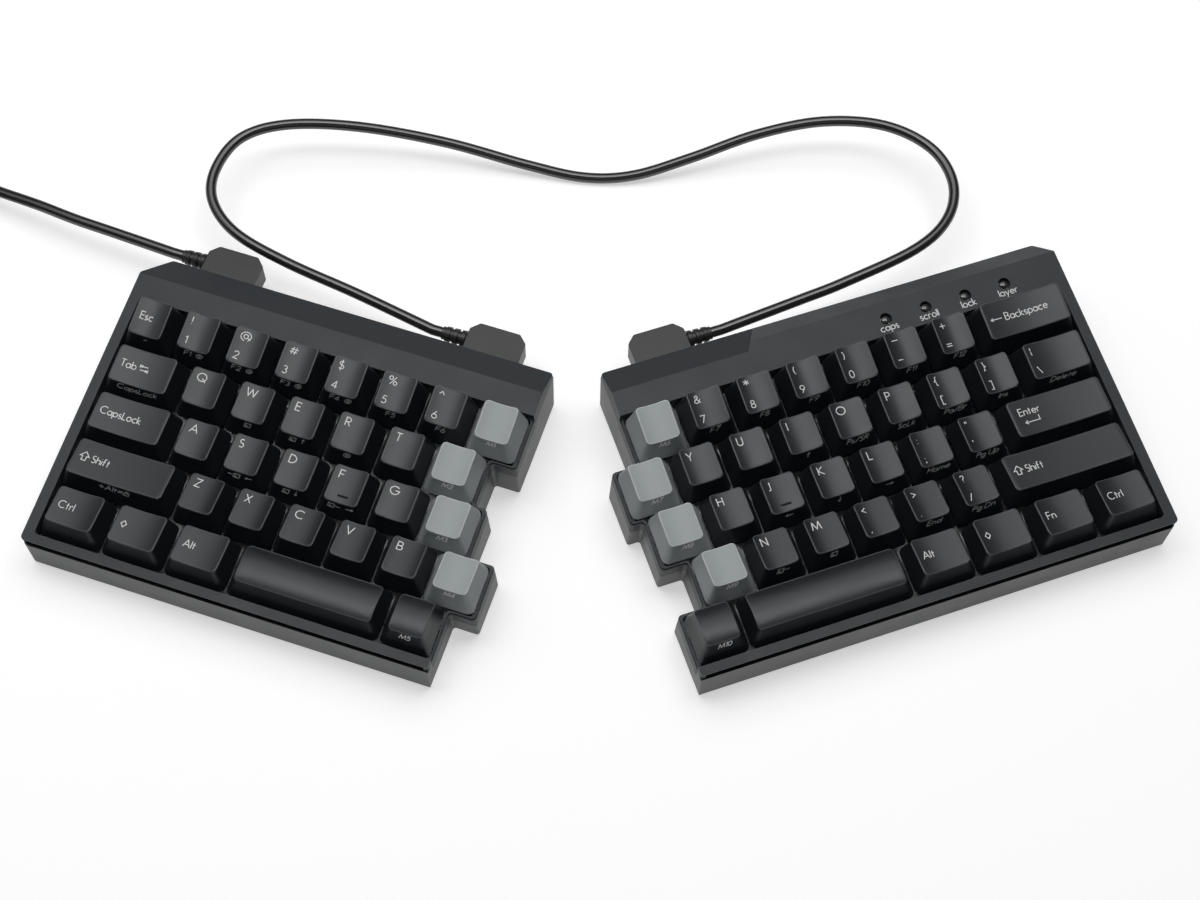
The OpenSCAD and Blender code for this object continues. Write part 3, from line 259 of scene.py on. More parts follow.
class Wiring:
    """A node tree that is wired by saying what each input takes.

    Args:
        tree: The tree.
        inputs: Names and socket kinds of a group's inputs.
        outputs: Names and socket kinds of its outputs.
    """

    def __init__(self, tree: bpy.types.NodeTree, inputs: dict[str, str] | None = None,
                 outputs: dict[str, str] | None = None) -> None:
        self.tree = tree
        for way, sockets in (("INPUT", inputs), ("OUTPUT", outputs)):
            for label, kind in (sockets or {}).items():
                tree.interface.new_socket(label, in_out=way, socket_type=f"NodeSocket{kind}")
        if inputs:
            self.given = tree.nodes.new("NodeGroupInput").outputs

    def fill(self, made: bpy.types.Node, sockets: Sockets) -> None:
        """Gives a node's inputs what they take.

        Args:
            made: The node.
            sockets: What each input takes: an output, a list of outputs or a value.
        """
        for label, value in sockets.items():
            if isinstance(value, (list, bpy.types.NodeSocket)):
                for source in value if isinstance(value, list) else [value]:
                    self.tree.links.new(source, made.inputs[label])
            else:
                made.inputs[label].default_value = value

    def node(self, kind: str, sockets: Sockets, output: str | int = 0, **options: object) -> bpy.types.NodeSocket:
        """Adds a node.

        Args:
            kind: Type of the node.
            sockets: What its inputs take.
            output: Which output to return.
            options: Settings of the node.

        Returns:
            The output.
        """
        made = self.tree.nodes.new(kind)
        for option, value in options.items():
            setattr(made, option, value)
        self.fill(made, sockets)
        return made.outputs[output]

    def mix(self, share: bpy.types.NodeSocket, first: object, second: object) -> bpy.types.NodeSocket:
        """Mixes two colours by a share of the second."""
        return self.node("ShaderNodeMix", {0: share, 6: first, 7: second}, 2, data_type="RGBA")

    def use(self, group: "Wiring", sockets: Sockets) -> bpy.types.bpy_prop_collection:
        """Adds a shader group and returns its outputs."""
        made = self.tree.nodes.new("ShaderNodeGroup")
        made.node_tree = group.tree
        self.fill(made, sockets)
        return made.outputs

    def give(self, sockets: Sockets) -> None:
        """Ends a group with what its outputs take."""
        self.fill(self.tree.nodes.new("NodeGroupOutput"), sockets)


class Growth(Wiring):
    """A Geometry Nodes tree with named inputs, grown into plain meshes.

    Args:
        name: Name of the tree.
        inputs: Names and socket kinds of its inputs beside the geometry and the material.
    """

    def __init__(self, name: str, inputs: dict[str, str]) -> None:
        super().__init__(bpy.data.node_groups.new(name, "GeometryNodeTree"),
                         {"Geometry": "Geometry", **inputs, "Material": "Material"}, {"Geometry": "Geometry"})

    def close(self, geometry: bpy.types.NodeSocket) -> None:
        """Ends the tree with real faces of its material."""
        real = self.node("GeometryNodeRealizeInstances", {"Geometry": geometry})
        painted = self.node("GeometryNodeSetMaterial", {"Geometry": real, "Material": self.given["Material"]})
        self.give({"Geometry": painted})

    def grow(self, name: str, points: Sequence[Vector], edges: Sequence[tuple[int, int]],
             values: dict[str, object],
             marks: dict[str, tuple[str, Sequence[float]]] | None = None) -> bpy.types.Object:
        """Grows one piece.

        Args:
            name: Name of the piece.
            points: Points that it grows from, in metres.
            edges: Edges between them.
            values: Values of the named inputs.
            marks: Kinds and values of the points' attributes.

        Returns:
            The linked object, a plain mesh at the origin.
        """
        seed = bpy.data.meshes.new(name)
        seed.from_pydata(points, edges, [])
        for label, (kind, numbers) in (marks or {}).items():
            seed.attributes.new(label, kind, "POINT").data.foreach_set("value", numbers)
        piece = bpy.data.objects.new(name, seed)
        bpy.context.scene.collection.objects.link(piece)
        modifier = piece.modifiers.new(self.tree.name, "NODES")
        modifier.node_group = self.tree
        for socket in self.tree.interface.items_tree:
            if socket.name in values:
                modifier[socket.identifier] = values[socket.name]
        graph = bpy.context.evaluated_depsgraph_get()
        grown = bpy.data.meshes.new_from_object(piece.evaluated_get(graph), depsgraph=graph)
        piece.modifiers.remove(modifier)
        piece.data = grown
        shade(grown)
        return piece


class MeshBag:
    """Collects the points and faces of one piece before it becomes an object."""

    def __init__(self) -> None:
        self.points: list[Vector] = []
        self.faces: list[tuple[int, ...]] = []
        self.slots: list[int] = []
        self.marks: list[float] = []

    def add(self, points: Sequence[Vector], faces: Iterable[Sequence[int]], slot: int = 0,
            marks: Sequence[float] = ()) -> None:
        """Adds a closed form.

        Args:
            points: Its points in metres.
            faces: Its faces, counted from the form's own first point.
            slot: Material slot of the faces.
            marks: How much each point takes the painted edge highlight, or none.
        """
        first = len(self.points)
        self.points.extend(points)
        self.marks.extend(marks or [0.0] * len(points))
        for face in faces:
            self.faces.append(tuple(first + i for i in face))
            self.slots.append(slot)

    def make(self, name: str, materials: Sequence[bpy.types.Material]) -> bpy.types.Object:
        """Makes the object at the origin, smooth but for its sharp edges.

        Args:
            name: Name of the piece.
            materials: Materials of its slots.

        Returns:
            The linked object.
        """
        mesh = bpy.data.meshes.new(name)
        mesh.from_pydata(self.points, [], self.faces)
        for material in materials:
            mesh.materials.append(material)
        mesh.polygons.foreach_set("material_index", self.slots)
        if any(self.marks):
            mesh.attributes.new(EDGE_HIGHLIGHT_MARK, "FLOAT", "POINT").data.foreach_set("value", self.marks)
        shade(mesh)
        piece = bpy.data.objects.new(name, mesh)
        bpy.context.scene.collection.objects.link(piece)
        return piece


def rounded_outline(width: float, depth: float, radius: float, corner: int, across: int,
                    along: int) -> list[Point2]:
    """Outline of a rounded rectangle, counter-clockwise from its front left corner.

    Args:
        width: Side-to-side size.
        depth: Front-to-rear size.
        radius: Corner radius.
        corner: Points in each corner.
        across: Points between corners on the front and rear edges.
        along: Points between corners on the sides.

    Returns:
        The points.
    """
    arcs = []
    for number, (sx, sy) in enumerate(((-1, -1), (1, -1), (1, 1), (-1, 1))):
        centre = (sx * (width / 2 - radius), sy * (depth / 2 - radius))
        turns = [math.radians(180 + 90 * (number + k / (corner - 1))) for k in range(corner)]
        arcs.append([(centre[0] + radius * math.cos(t), centre[1] + radius * math.sin(t)) for t in turns])
    outline: list[Point2] = []
    for number, arc in enumerate(arcs):
        outline += arc
        count = across if number % 2 == 0 else along
        (x0, y0), (x1, y1) = arc[-1], arcs[(number + 1) % 4][0]
        shares = [k / (count + 1) for k in range(1, count + 1)]
        outline += [(x0 + (x1 - x0) * k, y0 + (y1 - y0) * k) for k in shares]
    return outline


def ring_faces(rings: int, count: int) -> list[tuple[int, ...]]:
    """Quads between rings of equal point counts, in order from the first ring to the last."""
    return [(k * count + i, k * count + (i + 1) % count, (k + 1) * count + (i + 1) % count, (k + 1) * count + i)
            for k in range(rings - 1) for i in range(count)]


@dataclass(frozen=True)
class CapRow:
    """Shape of one row's caps: height in millimetres, tilt of the top in degrees, rearward shift of the top."""

    height: float
    tilt: float
    shift: float


CAP_ROWS = (CapRow(10.8, 5.2, 1.0), CapRow(9.3, 1.1, 1.0), CapRow(8.5, -3.2, 1.1), CapRow(8.7, -10.0, 1.5),
            CapRow(8.4, -8.8, 1.7))


@dataclass(frozen=True)
class CapShape:
    """A cap of one row and width, in millimetres about the middle of its base.

    Attributes:
        row: Row shape.
        width: Width in key units.
        crowned: True where the top is rounded from front to rear, False where it is dished.
        base: Base size of a one-unit cap.
        top_width: Top width of a one-unit cap.
        top_depth: Depth of the top.
        base_corner: Corner radius at the base.
        top_corner: Corner radius at the top.
        edge: Radius of the rounded top edge.
        dish: Depth of the hollow across the top.
        crown: Drop of a rounded top's front and rear edges.
        wall: Wall thickness.
        roof: Roof thickness under the lowest place of the top.
        foot: Size of the bevel round the base.
        bar: Length, width and height of a homing bar.
        bar_from_front: Distance of the bar's near side from the front edge of the top.
    """

    FIRST_EDGE: ClassVar[int] = 5
    EDGE_RINGS: ClassVar[int] = 6

    row: CapRow
    width: float
    crowned: bool = False
    base: float = 18.55
    top_width: float = 11.9
    top_depth: float = 13.4
    base_corner: float = 2.4
    top_corner: float = 1.2
    edge: float = 0.4
    dish: float = 1.0
    crown: float = 1.2
    wall: float = 1.3
    roof: float = 1.0
    foot: float = 0.25
    bar: Point3 = (4.2, 0.9, 0.45)
    bar_from_front: float = 2.0

    @property
    def more(self) -> float:
        """Extra width beyond a one-unit cap."""
        return (self.width - 1) * PITCH

    @property
    def ceiling(self) -> float:
        """Height of the hollow inside."""
        lean = abs(math.sin(math.radians(self.row.tilt))) * self.top_depth / 2
        return self.row.height - self.dish - self.roof - lean

    def top(self, x: float, y: float) -> float:
        """Height of the top surface.

        Args:
            x: Place across the cap.
            y: Place along the cap, from the middle of the top.

        Returns:
            Height over the base.
        """
        plane = self.row.height + y * math.tan(math.radians(self.row.tilt))
        if self.crowned:
            return plane - self.crown * (2 * y / self.top_depth) ** 2
        share = min(1.0, abs(x) / ((self.top_width + self.more) / 2))
        return plane - self.dish * (1 - share * share)

    def outline(self, grow: float, radius: float, base: bool = False) -> list[Point2]:
        """Outline of the top or the base, grown outwards.

        Args:
            grow: Growth on each side.
            radius: Corner radius.
            base: True for the base, False for the top.

        Returns:
            The points, as many for either.
        """
        wide, deep = (self.base, self.base) if base else (self.top_width, self.top_depth)
        count = 7 + 2 * round(self.width)
        return rounded_outline(wide + self.more + 2 * grow, deep + 2 * grow, radius, 6, count, 3)

    def rings(self) -> list[list[Point3]]:
        """Rings of the shell, from the inner ceiling down, round the rim and up to the middle of the top."""
        shift = self.row.shift
        inner_top = [(x, y + shift * 0.8, self.ceiling) for x, y in self.outline(-self.wall + 0.9, 1.5)]
        inner_low = [(x, y, 0.0) for x, y in self.outline(-self.wall, 0.6, True)]
        rim = [(x, y, 0.0) for x, y in self.outline(-self.foot, self.base_corner, True)]
        foot = [(x, y, self.foot) for x, y in self.outline(0.0, self.base_corner, True)]
        edge = [self.edge_ring(k * math.pi / 2 / (self.EDGE_RINGS - 1)) for k in range(self.EDGE_RINGS)]
        middle = [tuple((a + b) / 2 for a, b in zip(p, q)) for p, q in zip(foot, edge[0])]
        tops = []
        for share in (0.94, 0.84, 0.7, 0.52, 0.3, 0.1):
            tops.append([(x * share, y * share + shift, self.top(x * share, y * share))
                         for x, y in self.outline(0.0, self.top_corner)])
        return [inner_top, inner_low, rim, foot, middle, *edge, *tops]

    def edge_ring(self, turn: float) -> list[Point3]:
        """Ring of the rounded top edge.

        Args:
            turn: Angle from the side of the cap to its top.

        Returns:
            The ring.
        """
        grow = self.edge * math.cos(turn)
        drop = self.edge * (1 - math.sin(turn))
        flat = self.outline(0.0, self.top_corner)
        grown = self.outline(grow, self.top_corner + grow)
        return [(gx, gy + self.row.shift, self.top(x, y) - drop) for (x, y), (gx, gy) in zip(flat, grown)]

    def build(self, bag: MeshBag, place: Matrix, slot: int) -> None:
        """Adds the cap's shell to a piece.

        Args:
            bag: Piece to add to.
            place: Matrix from the cap's millimetres to the frame.
            slot: Material slot of the shell.
        """
        rings = self.rings()
        count = len(rings[0])
        points = [place @ Vector(p) for r in rings for p in r]
        last = (len(rings) - 1) * count
        faces = ring_faces(len(rings), count)
        faces.append(tuple(range(count - 1, -1, -1)))
        faces += [(last + i, last + (i + 1) % count, len(points)) for i in range(count)]
        points.append(place @ Vector((0, self.row.shift, self.top(0, 0))))
        # Rings of the rounded top edge, which take the painted highlight tint
        highlight_rings = range(self.FIRST_EDGE + 1, self.FIRST_EDGE + self.EDGE_RINGS - 1)
        marks = [float(number in highlight_rings) for number in range(len(rings)) for _ in range(count)]
        bag.add(points, faces, slot, [*marks, 0.0])

    def build_bar(self, bag: MeshBag, place: Matrix, slot: int) -> None:
        """Adds the homing bar near the front edge of the top, as a low rounded ridge.

        Args:
            bag: Piece to add to.
            place: Matrix from the cap's millimetres to the frame.
            slot: Material slot of the bar.
        """
        long, wide, high = self.bar
        middle = self.bar_from_front + wide / 2 - self.top_depth / 2
        rings = []
        for level in (-0.5, 0.0, 0.35, 0.65, 0.87, 1.0):
            inset = wide / 2 * (1 - math.sqrt(max(0.0, 1 - max(level, 0.0) ** 2)) * 0.9)
            ring = rounded_outline(long - 2 * inset, wide - 2 * inset, (wide - 2 * inset) * 0.49, 6, 6, 1)
            rings.append([place @ Vector((x, y + middle + self.row.shift, self.top(0, middle) + level * high))
                          for x, y in ring])
        count = len(rings[0])
        faces = ring_faces(len(rings), count)
        faces.append(tuple(range(count - 1, -1, -1)))
        faces.append(tuple((len(rings) - 1) * count + i for i in range(count)))
        bag.add([p for ring in rings for p in ring], faces, slot)

    def on_top(self, u: float, v: float) -> tuple[Vector, Vector]:
        """Place and direction of the top surface.

        Args:
            u: Place across the cap.
            v: Place along the cap, from the middle of the top.

        Returns:
            The point and its normal.
        """
        step = 0.05
        slope_x = (self.top(u + step, v) - self.top(u - step, v)) / (2 * step)
        slope_y = (self.top(u, v + step) - self.top(u, v - step)) / (2 * step)
        return Vector((u, v + self.row.shift, self.top(u, v))), Vector((-slope_x, -slope_y, 1)).normalized()

    def on_front(self, u: float, v: float) -> tuple[Vector, Vector]:
        """Place and direction of the front face.

        Args:
            u: Place across the cap.
            v: Distance up the face from its upper edge.

        Returns:
            The point and its normal.
        """
        low = Vector((0, -self.base / 2, self.foot))
        deep = self.top_depth / 2
        high = Vector((0, -deep - self.edge + self.row.shift, self.top(u, -deep) - self.edge))
        up = (high - low).normalized()
        return high + Vector((u, 0, 0)) + up * v, Vector((1, 0, 0)).cross(up)


# Strokes of the printed letters. Height of a capital is 1, a bar parts strokes, and an arc is
# written @ centre x, centre y, radius x, radius y, first angle, last angle.
STROKES = {
    "A": "0,0 .42,1 .84,0|.14,.33 .70,.33",
    "B": "0,0 0,1 .28,1 @.28,.76,.24,.24,90,-90 0,.52|.28,.52 @.3,.26,.28,.26,90,-90 0,0",
    "C": "@.5,.5,.5,.5,48,312", "D": "0,0 0,1 .2,1 @.2,.5,.52,.5,90,-90 0,0",
    "E": ".5,1 0,1 0,0 .5,0|0,.53 .46,.53", "F": ".5,1 0,1 0,0|0,.5 .45,.5",
    "G": "@.5,.5,.5,.5,42,360 .56,.5", "H": "0,0 0,1|.62,0 .62,1|0,.53 .62,.53", "I": "0,0 0,1",
    "J": ".3,1 .3,.16 @.13,.16,.17,.18,0,-110", "K": "0,0 0,1|.56,1 .04,.5 .62,0", "L": "0,1 0,0 .45,0",
    "M": "0,0 .14,1 .5,.1 .86,1 1,0", "N": "0,0 0,1 .68,0 .68,1", "O": "@.5,.5,.5,.5,0,360",
    "P": "0,0 0,1 .25,1 @.25,.74,.25,.26,90,-90 0,.48", "Q": "@.5,.5,.5,.5,0,360|.56,.38 .98,-.06",
    "R": "0,0 0,1 .25,1 @.25,.74,.25,.26,90,-90 0,.48|.22,.48 .52,0",
    "S": "@.24,.755,.2,.235,45,270 @.24,.265,.235,.265,90,-135", "T": "0,1 .6,1|.3,1 .3,0",
    "U": "0,1 0,.3 @.3,.3,.3,.3,180,360 .6,1", "V": "0,1 .38,0 .76,1", "W": "0,1 .28,0 .57,.92 .86,0 1.14,1",
    "X": "0,0 .62,1|0,1 .62,0", "Y": "0,1 .32,.45 .64,1|.32,.45 .32,0", "Z": "0,1 .6,1 0,0 .6,0",
    "0": "@.28,.5,.28,.5,0,360", "1": "0,.8 .2,1 .2,0", "2": "@.27,.73,.26,.27,170,-35 0,0 .56,0",
    "3": "@.24,.77,.22,.23,150,-85 @.24,.27,.26,.27,85,-150", "4": ".42,0 .42,1 0,.26 .58,.26",
    "5": ".5,1 .16,1 .08,.58 @.25,.32,.28,.32,120,-140", "6": ".42,1 .05,.43|@.28,.28,.28,.28,0,360",
    "7": "0,1 .56,1 .14,0", "8": "@.27,.76,.2,.24,0,360|@.27,.27,.26,.27,0,360",
    "9": ".14,0 .51,.57|@.28,.72,.28,.28,0,360",
    "!": "0,1 0,.3|0,.07 0,0",
    "@": "@.62,.48,.62,.62,-60,262|@.6,.48,.26,.28,0,360|.86,.76 .86,.4 @1.02,.4,.16,.18,180,345",
    "#": ".22,0 .4,1|.6,0 .78,1|.1,.68 .98,.68|.02,.32 .9,.32",
    "$": "@.3,.755,.26,.235,45,270 @.3,.265,.3,.265,90,-135|.3,1.24 .3,-.24",
    "%": "@.2,.8,.2,.24,0,360|@.8,.2,.2,.24,0,360|.78,1.06 .22,-.06", "^": "0,.6 .29,1 .58,.6",
    "&": ".72,0 .18,.68 @.32,.8,.17,.2,220,-40 .1,.42 @.28,.24,.27,.24,140,330 .7,.5",
    "*": "0,.98 .66,.6|0,.6 .66,.98|.33,1.16 .33,.42", "(": "@.45,.45,.4,.65,125,235",
    ")": "@-.2,.45,.4,.65,55,-55", "-": "0,.42 .6,.42", "_": "0,.42 .8,.42", "=": "0,.6 .68,.6|0,.28 .68,.28",
    "+": "0,.43 .72,.43|.36,.79 .36,.07", "~": "0,.4 .14,.52 .3,.4 .44,.52",
    "[": ".32,1.08 0,1.08 0,-.14 .32,-.14", "]": "0,1.08 .32,1.08 .32,-.14 0,-.14",
    "{": ".36,1.08 .2,1 .18,.58 0,.46 .18,.34 .2,-.08 .36,-.16",
    "}": "0,1.08 .16,1 .18,.58 .36,.46 .18,.34 .16,-.08 0,-.16",
    "\\": "0,1 .4,0", "|": "0,1.05 0,.58|0,.42 0,-.05", ";": "0,.56 0,.5|.03,.06 -.05,-.16",
    ":": "0,.56 0,.5|0,.07 0,.01", "'": "0,1 0,.74", '"': "0,1 0,.74|.18,1 .18,.74",
    ",": ".04,.06 -.04,-.16", ".": "0,.07 0,.01", "<": ".45,.8 0,.45 .45,.1", ">": "0,.8 .45,.45 0,.1",
    "/": "0,0 .4,1", "?": "@.2,.78,.2,.22,170,-60 .2,.42 .2,.26|.2,.07 .2,0",
    "a": "@.28,.3,.28,.3,0,360|.58,.6 .58,0", "b": "0,1 0,0|@.3,.3,.28,.3,0,360", "c": "@.3,.3,.3,.3,48,312",
    "d": "@.28,.3,.28,.3,0,360|.58,1 .58,0", "e": ".03,.32 .57,.32 @.3,.3,.28,.3,5,318",
    "f": ".36,.97 @.26,.83,.13,.15,60,180 .13,0|0,.58 .33,.58",
    "g": "@.28,.3,.28,.3,0,360|.58,.6 .58,-.08 @.3,-.08,.28,.24,0,-150",
    "h": "0,1 0,0|@.25,.35,.25,.25,180,0 .5,0", "i": "0,.6 0,0|0,.9 0,.86", "k": "0,1 0,0|.4,.6 .04,.28 .45,0",
    "l": "0,1 0,0", "m": "0,.6 0,0|@.2,.38,.2,.22,180,0 .4,0|@.6,.38,.2,.22,180,0 .8,0",
    "n": "0,.6 0,0|@.25,.35,.25,.25,180,0 .5,0", "o": "@.3,.3,.3,.3,0,360",
    "p": "0,.6 0,-.32|@.3,.3,.28,.3,0,360", "r": "0,.6 0,0|@.22,.37,.22,.23,180,62",
    "s": "@.19,.445,.16,.155,35,270 @.19,.145,.185,.145,90,-140", "t": ".15,.88 .15,0|0,.58 .34,.58",
    "y": "0,.6 .25,.02|.52,.6 .13,-.32",
    "back": "1.6,.42 0,.42|.3,.64 0,.42 .3,.2",
    "left": "1,.42 0,.42|.25,.62 0,.42 .25,.22", "right": "0,.42 1,.42|.75,.62 1,.42 .75,.22",
    "up": ".2,0 .2,.9|0,.62 .2,.9 .4,.62", "down": ".2,.9 .2,0|0,.28 .2,0 .4,.28",
    "shift": ".35,-.06 .35,.52 0,.52 .62,1.18 1.24,.52 .89,.52 .89,-.06 .35,-.06",
    "tab": "0,1 0,.54|1.1,.77 .12,.77|.34,.93 .12,.77 .34,.61|1.2,.46 1.2,0|.1,.23 1.08,.23"
           "|.86,.39 1.08,.23 .86,.07",
    "return": "2.1,1 2.1,.3 0,.3|.36,.56 0,.3 .36,.04",
    "gem": ".35,0 0,.45 .35,.9 .7,.45 .35,0",
    "disc": "@.45,.45,.45,.45,0,360|@.45,.45,.16,.16,0,360", "box": "0,0 .8,0 .8,.8 0,.8 0,0|.2,.5 .2,.2 .5,.2",
    "lock": "0,0 .7,0 .7,.5 0,.5 0,0|.15,.5 @.35,.62,.2,.28,180,0 .55,.5", " ": "",
}


class StrokeFont:
    """A plain geometric letter of even strokes, for printed legends.

    Args:
        gap: Space between letters, in capital heights.
        blank: Width of a space.
        chord: Longest stretch of a stroke, in capital heights.
    """

    def __init__(self, gap: float = 0.18, blank: float = 0.3, chord: float = 0.13) -> None:
        self.gap = gap
        self.blank = blank
        self.chord = chord

    def arc(self, words: str) -> list[Point2]:
        """Points of an arc from its written numbers."""
        cx, cy, rx, ry, start, end = (float(w) for w in words.split(","))
        count = max(4, math.ceil(abs(end - start) / 24))
        turns = [math.radians(start + (end - start) * k / count) for k in range(count + 1)]
        return [(cx + rx * math.cos(t), cy + ry * math.sin(t)) for t in turns]

    def fine(self, points: list[Point2]) -> list[Point2]:
        """Points of a stroke with its long stretches parted."""
        dense = points[:1]
        for (x0, y0), (x1, y1) in zip(points, points[1:]):
            count = max(1, math.ceil(math.hypot(x1 - x0, y1 - y0) / self.chord))
            dense += [(x0 + (x1 - x0) * k / count, y0 + (y1 - y0) * k / count) for k in range(1, count + 1)]
        return dense

    def glyph(self, name: str) -> list[list[Point2]]:
        """Strokes of one letter or sign."""
        strokes = []
        for written in filter(None, STROKES[name].split("|")):
            points: list[Point2] = []
            for word in written.split():
                if word[0] == "@":
                    points += self.arc(word[1:])
                else:
                    x, y = word.split(",")
                    points.append((float(x), float(y)))
            kept = [p for p, q in zip(points, points[1:] + [None]) if q is None or math.dist(p, q) > SAME_POINT]
            strokes.append(self.fine(kept))
        return strokes

    def names(self, text: str) -> list[str]:
        """Names of a line's letters, where a sign's name stands in braces."""
        found = []
        while text:
            end = text.find("}")
            if text[0] == "{" and end > 1:
                found.append(text[1:end])
                text = text[end + 1:]
            else:
                found.append(text[0])
                text = text[1:]
        return found

    def line(self, text: str) -> tuple[list[list[Point2]], float]:
        """Lays out a line of text.

        Args:
            text: The line.

        Returns:
            Its strokes from x = 0, and its width.
        """
        strokes: list[list[Point2]] = []
        x = 0.0
        for name in self.names(text):
            if name == " ":
                x += self.blank
                continue
            shapes = self.glyph(name)
            low = min(p[0] for s in shapes for p in s)
            strokes += [[(px - low + x, py) for px, py in s] for s in shapes]
            x += max(p[0] for s in shapes for p in s) - low + self.gap
        return strokes, x - self.gap


@dataclass(frozen=True)
class Lettering:
    """How a line is printed: capital height, stroke width, slant and stretch, in millimetres and degrees."""

    height: float
    stroke: float
    slant: float = 0.0
    stretch: float = 1.0
    lift: float = 0.035
    sink: float = 0.04


FONT = StrokeFont()
Surface = Callable[[float, float], tuple[Vector, Vector]]


def stroke_sides(points: list[Point2], half: float) -> list[tuple[Point2, Point2]]:
    """Left and right edge of a stroke at each of its points.

    Args:
        points: Middle of the stroke.
        half: Half its width.

    Returns:
        One pair of points for each point.
    """
    closed = len(points) > 3 and math.dist(points[0], points[-1]) < SAME_POINT
    sides = []
    for i, (x, y) in enumerate(points):
        before = points[i - 1] if i else (points[-2] if closed else None)
        after = points[i + 1] if i + 1 < len(points) else (points[1] if closed else None)
        along = []
        for p, q in ((before, (x, y)), ((x, y), after)):
            if p and q:
                run = math.dist(p, q)
                along.append(((q[0] - p[0]) / run, (q[1] - p[1]) / run))
        tx, ty = sum(a[0] for a in along) / len(along), sum(a[1] for a in along) / len(along)
        size = max(math.hypot(tx, ty), 0.45)
        nx, ny = -ty / size ** 2 * half, tx / size ** 2 * half
        sides.append(((x + nx, y + ny), (x - nx, y - ny)))
    return sides


def print_line(bag: MeshBag, text: str, at: Point2, lettering: Lettering, surface: Surface, place: Matrix,
               centred: bool = False) -> None:
    """Prints a line on a surface as thin raised strokes.

    Args:
        bag: Piece to add to.
        text: The line.
        at: Start of its base line on the surface, or its middle.
        lettering: How it is printed.
        surface: Gives the point and normal at a place on the surface.
        place: Matrix from the surface's millimetres to the frame.
        centred: True where at is the middle of the line.
    """
    strokes, wide = FONT.line(text)
    lean = math.tan(math.radians(lettering.slant))
    start = -wide / 2 if centred else 0.0
    for stroke in strokes:
        flat = [((start + x + lean * y) * lettering.height * lettering.stretch, y * lettering.height)
                for x, y in stroke]
        points = []
        for pair in stroke_sides(flat, lettering.stroke / 2):
            for level in (lettering.lift, -lettering.sink):
                for x, y in pair:
                    point, normal = surface(at[0] + x, at[1] + y)
                    points.append(place @ (point + normal * level))
        faces: list[tuple[int, ...]] = [(0, 2, 3, 1)]
        for k in range(len(flat) - 1):
            a, b = 4 * k, 4 * k + 4
            faces += [(a, a + 1, b + 1, b), (a + 2, b + 2, b + 3, a + 3), (a, b, b + 2, a + 2),
                      (a + 1, a + 3, b + 3, b + 1)]
        end = 4 * (len(flat) - 1)
        faces.append((end, end + 1, end + 3, end + 2))
        bag.add(points, faces)


@dataclass(frozen=True)
class Finish:
    """A moulded or coated surface.

    Attributes:
        name: Name of the material.
        dark: Darker tint.
        light: Lighter tint.
        rough: Lowest and highest roughness.
        grain: Grains across a millimetre.
        relief: Height of the grain in millimetres.
        metallic: Share of metal.
        specular: Specular level.
        coat: Weight of a clear coat.
        round_edge: Radius in millimetres by which shading softens sharp edges.
        edge: Tint of the painted highlight on edges, or none.
    """

    name: str
    dark: Point3
    light: Point3
    rough: Point2
    grain: float = 4.0
    relief: float = 0.01
    metallic: float = 0.0
    specular: float = 0.5
    coat: float = 0.0
    round_edge: float = 0.0
    edge: Point3 | None = None


def grey(value: float, blue: float = 1.0) -> Point3:
    """A grey tint, cooler where blue is over 1."""
    return (value, value * (1 + blue) / 2, value * blue)


class Finishes(Enum):
    """Every finish on the keyboard."""

    # The edge tints of the caps are painted highlights along their top edges
    CAP_DARK = Finish("cap_dark", grey(0.009, 1.5), grey(0.013, 1.5), (0.28, 0.36), 6.0, 0.006, specular=0.37,
                      edge=grey(0.075, 1.1))
    CAP_GREY = Finish("cap_grey", (0.3, 0.326, 0.332), (0.335, 0.362, 0.368), (0.42, 0.52), 6.0, 0.006,
                      specular=0.37, edge=grey(0.55, 1.05))
    # The edge tints of the cases are painted highlights along their sharp edges
    CASE_TOP = Finish("case_top", grey(0.016, 1.4), grey(0.022, 1.4), (0.45, 0.56), 5.0, 0.012, specular=0.37,
                      round_edge=0.2, edge=grey(0.14, 1.1))
    CASE_BASE = Finish("case_base", grey(0.135, 1.05), grey(0.155, 1.05), (0.44, 0.56), 5.0, 0.012,
                       round_edge=0.25, edge=grey(0.42, 1.05))
    # Black of the inner parts, also laid on the front groove's floor as painted shade
    INNER_BLACK = Finish("inner_black", grey(0.004), grey(0.006), (0.35, 0.5), 3.0, 0.004, round_edge=0.15)
    PLATE = Finish("plate_coat", grey(0.76), grey(0.82), (0.42, 0.55), 3.0, 0.004, round_edge=0.15)
    BOARD = Finish("board_mask", (0.006, 0.03, 0.014), (0.008, 0.04, 0.018), (0.35, 0.5), 1.0, 0.004)
    STEEL = Finish("bright_steel", grey(0.55), grey(0.62), (0.25, 0.4), 6.0, 0.003, metallic=1.0)
    SCREW = Finish("zinc_screw", grey(0.32), grey(0.4), (0.3, 0.45), 6.0, 0.003, metallic=1.0)
    RUBBER = Finish("foot_rubber", grey(0.012), grey(0.018), (0.7, 0.85), 3.0, 0.02)
    JACKET = Finish("cable_jacket", grey(0.009, 1.1), grey(0.013, 1.1), (0.17, 0.24), 2.0, 0.008, specular=0.9)
    PLUG = Finish("plug_mould", grey(0.012, 1.1), grey(0.017, 1.1), (0.36, 0.46), 5.0, 0.01, round_edge=0.4)
    LENS = Finish("lens_plastic", grey(0.02, 1.05), grey(0.03, 1.05), (0.08, 0.14), 1.0, 0.0, coat=0.5)
    TIE = Finish("tie_fabric", grey(0.01), grey(0.02), (0.75, 0.9), 3.0, 0.12)
    PRINT = Finish("legend_print", grey(0.62), grey(0.7), (0.5, 0.6), 8.0, 0.002)
    # Copy of the legend print, darkened as painted shade for the front faces
    DIM_PRINT = Finish("front_print", grey(0.46), grey(0.54), (0.5, 0.6), 8.0, 0.002)
    # Copy of the legend print, lightened as painted light for the macro keys' front faces
    MACRO_PRINT = Finish("macro_print", grey(0.84), grey(0.88), (0.5, 0.6), 8.0, 0.002)


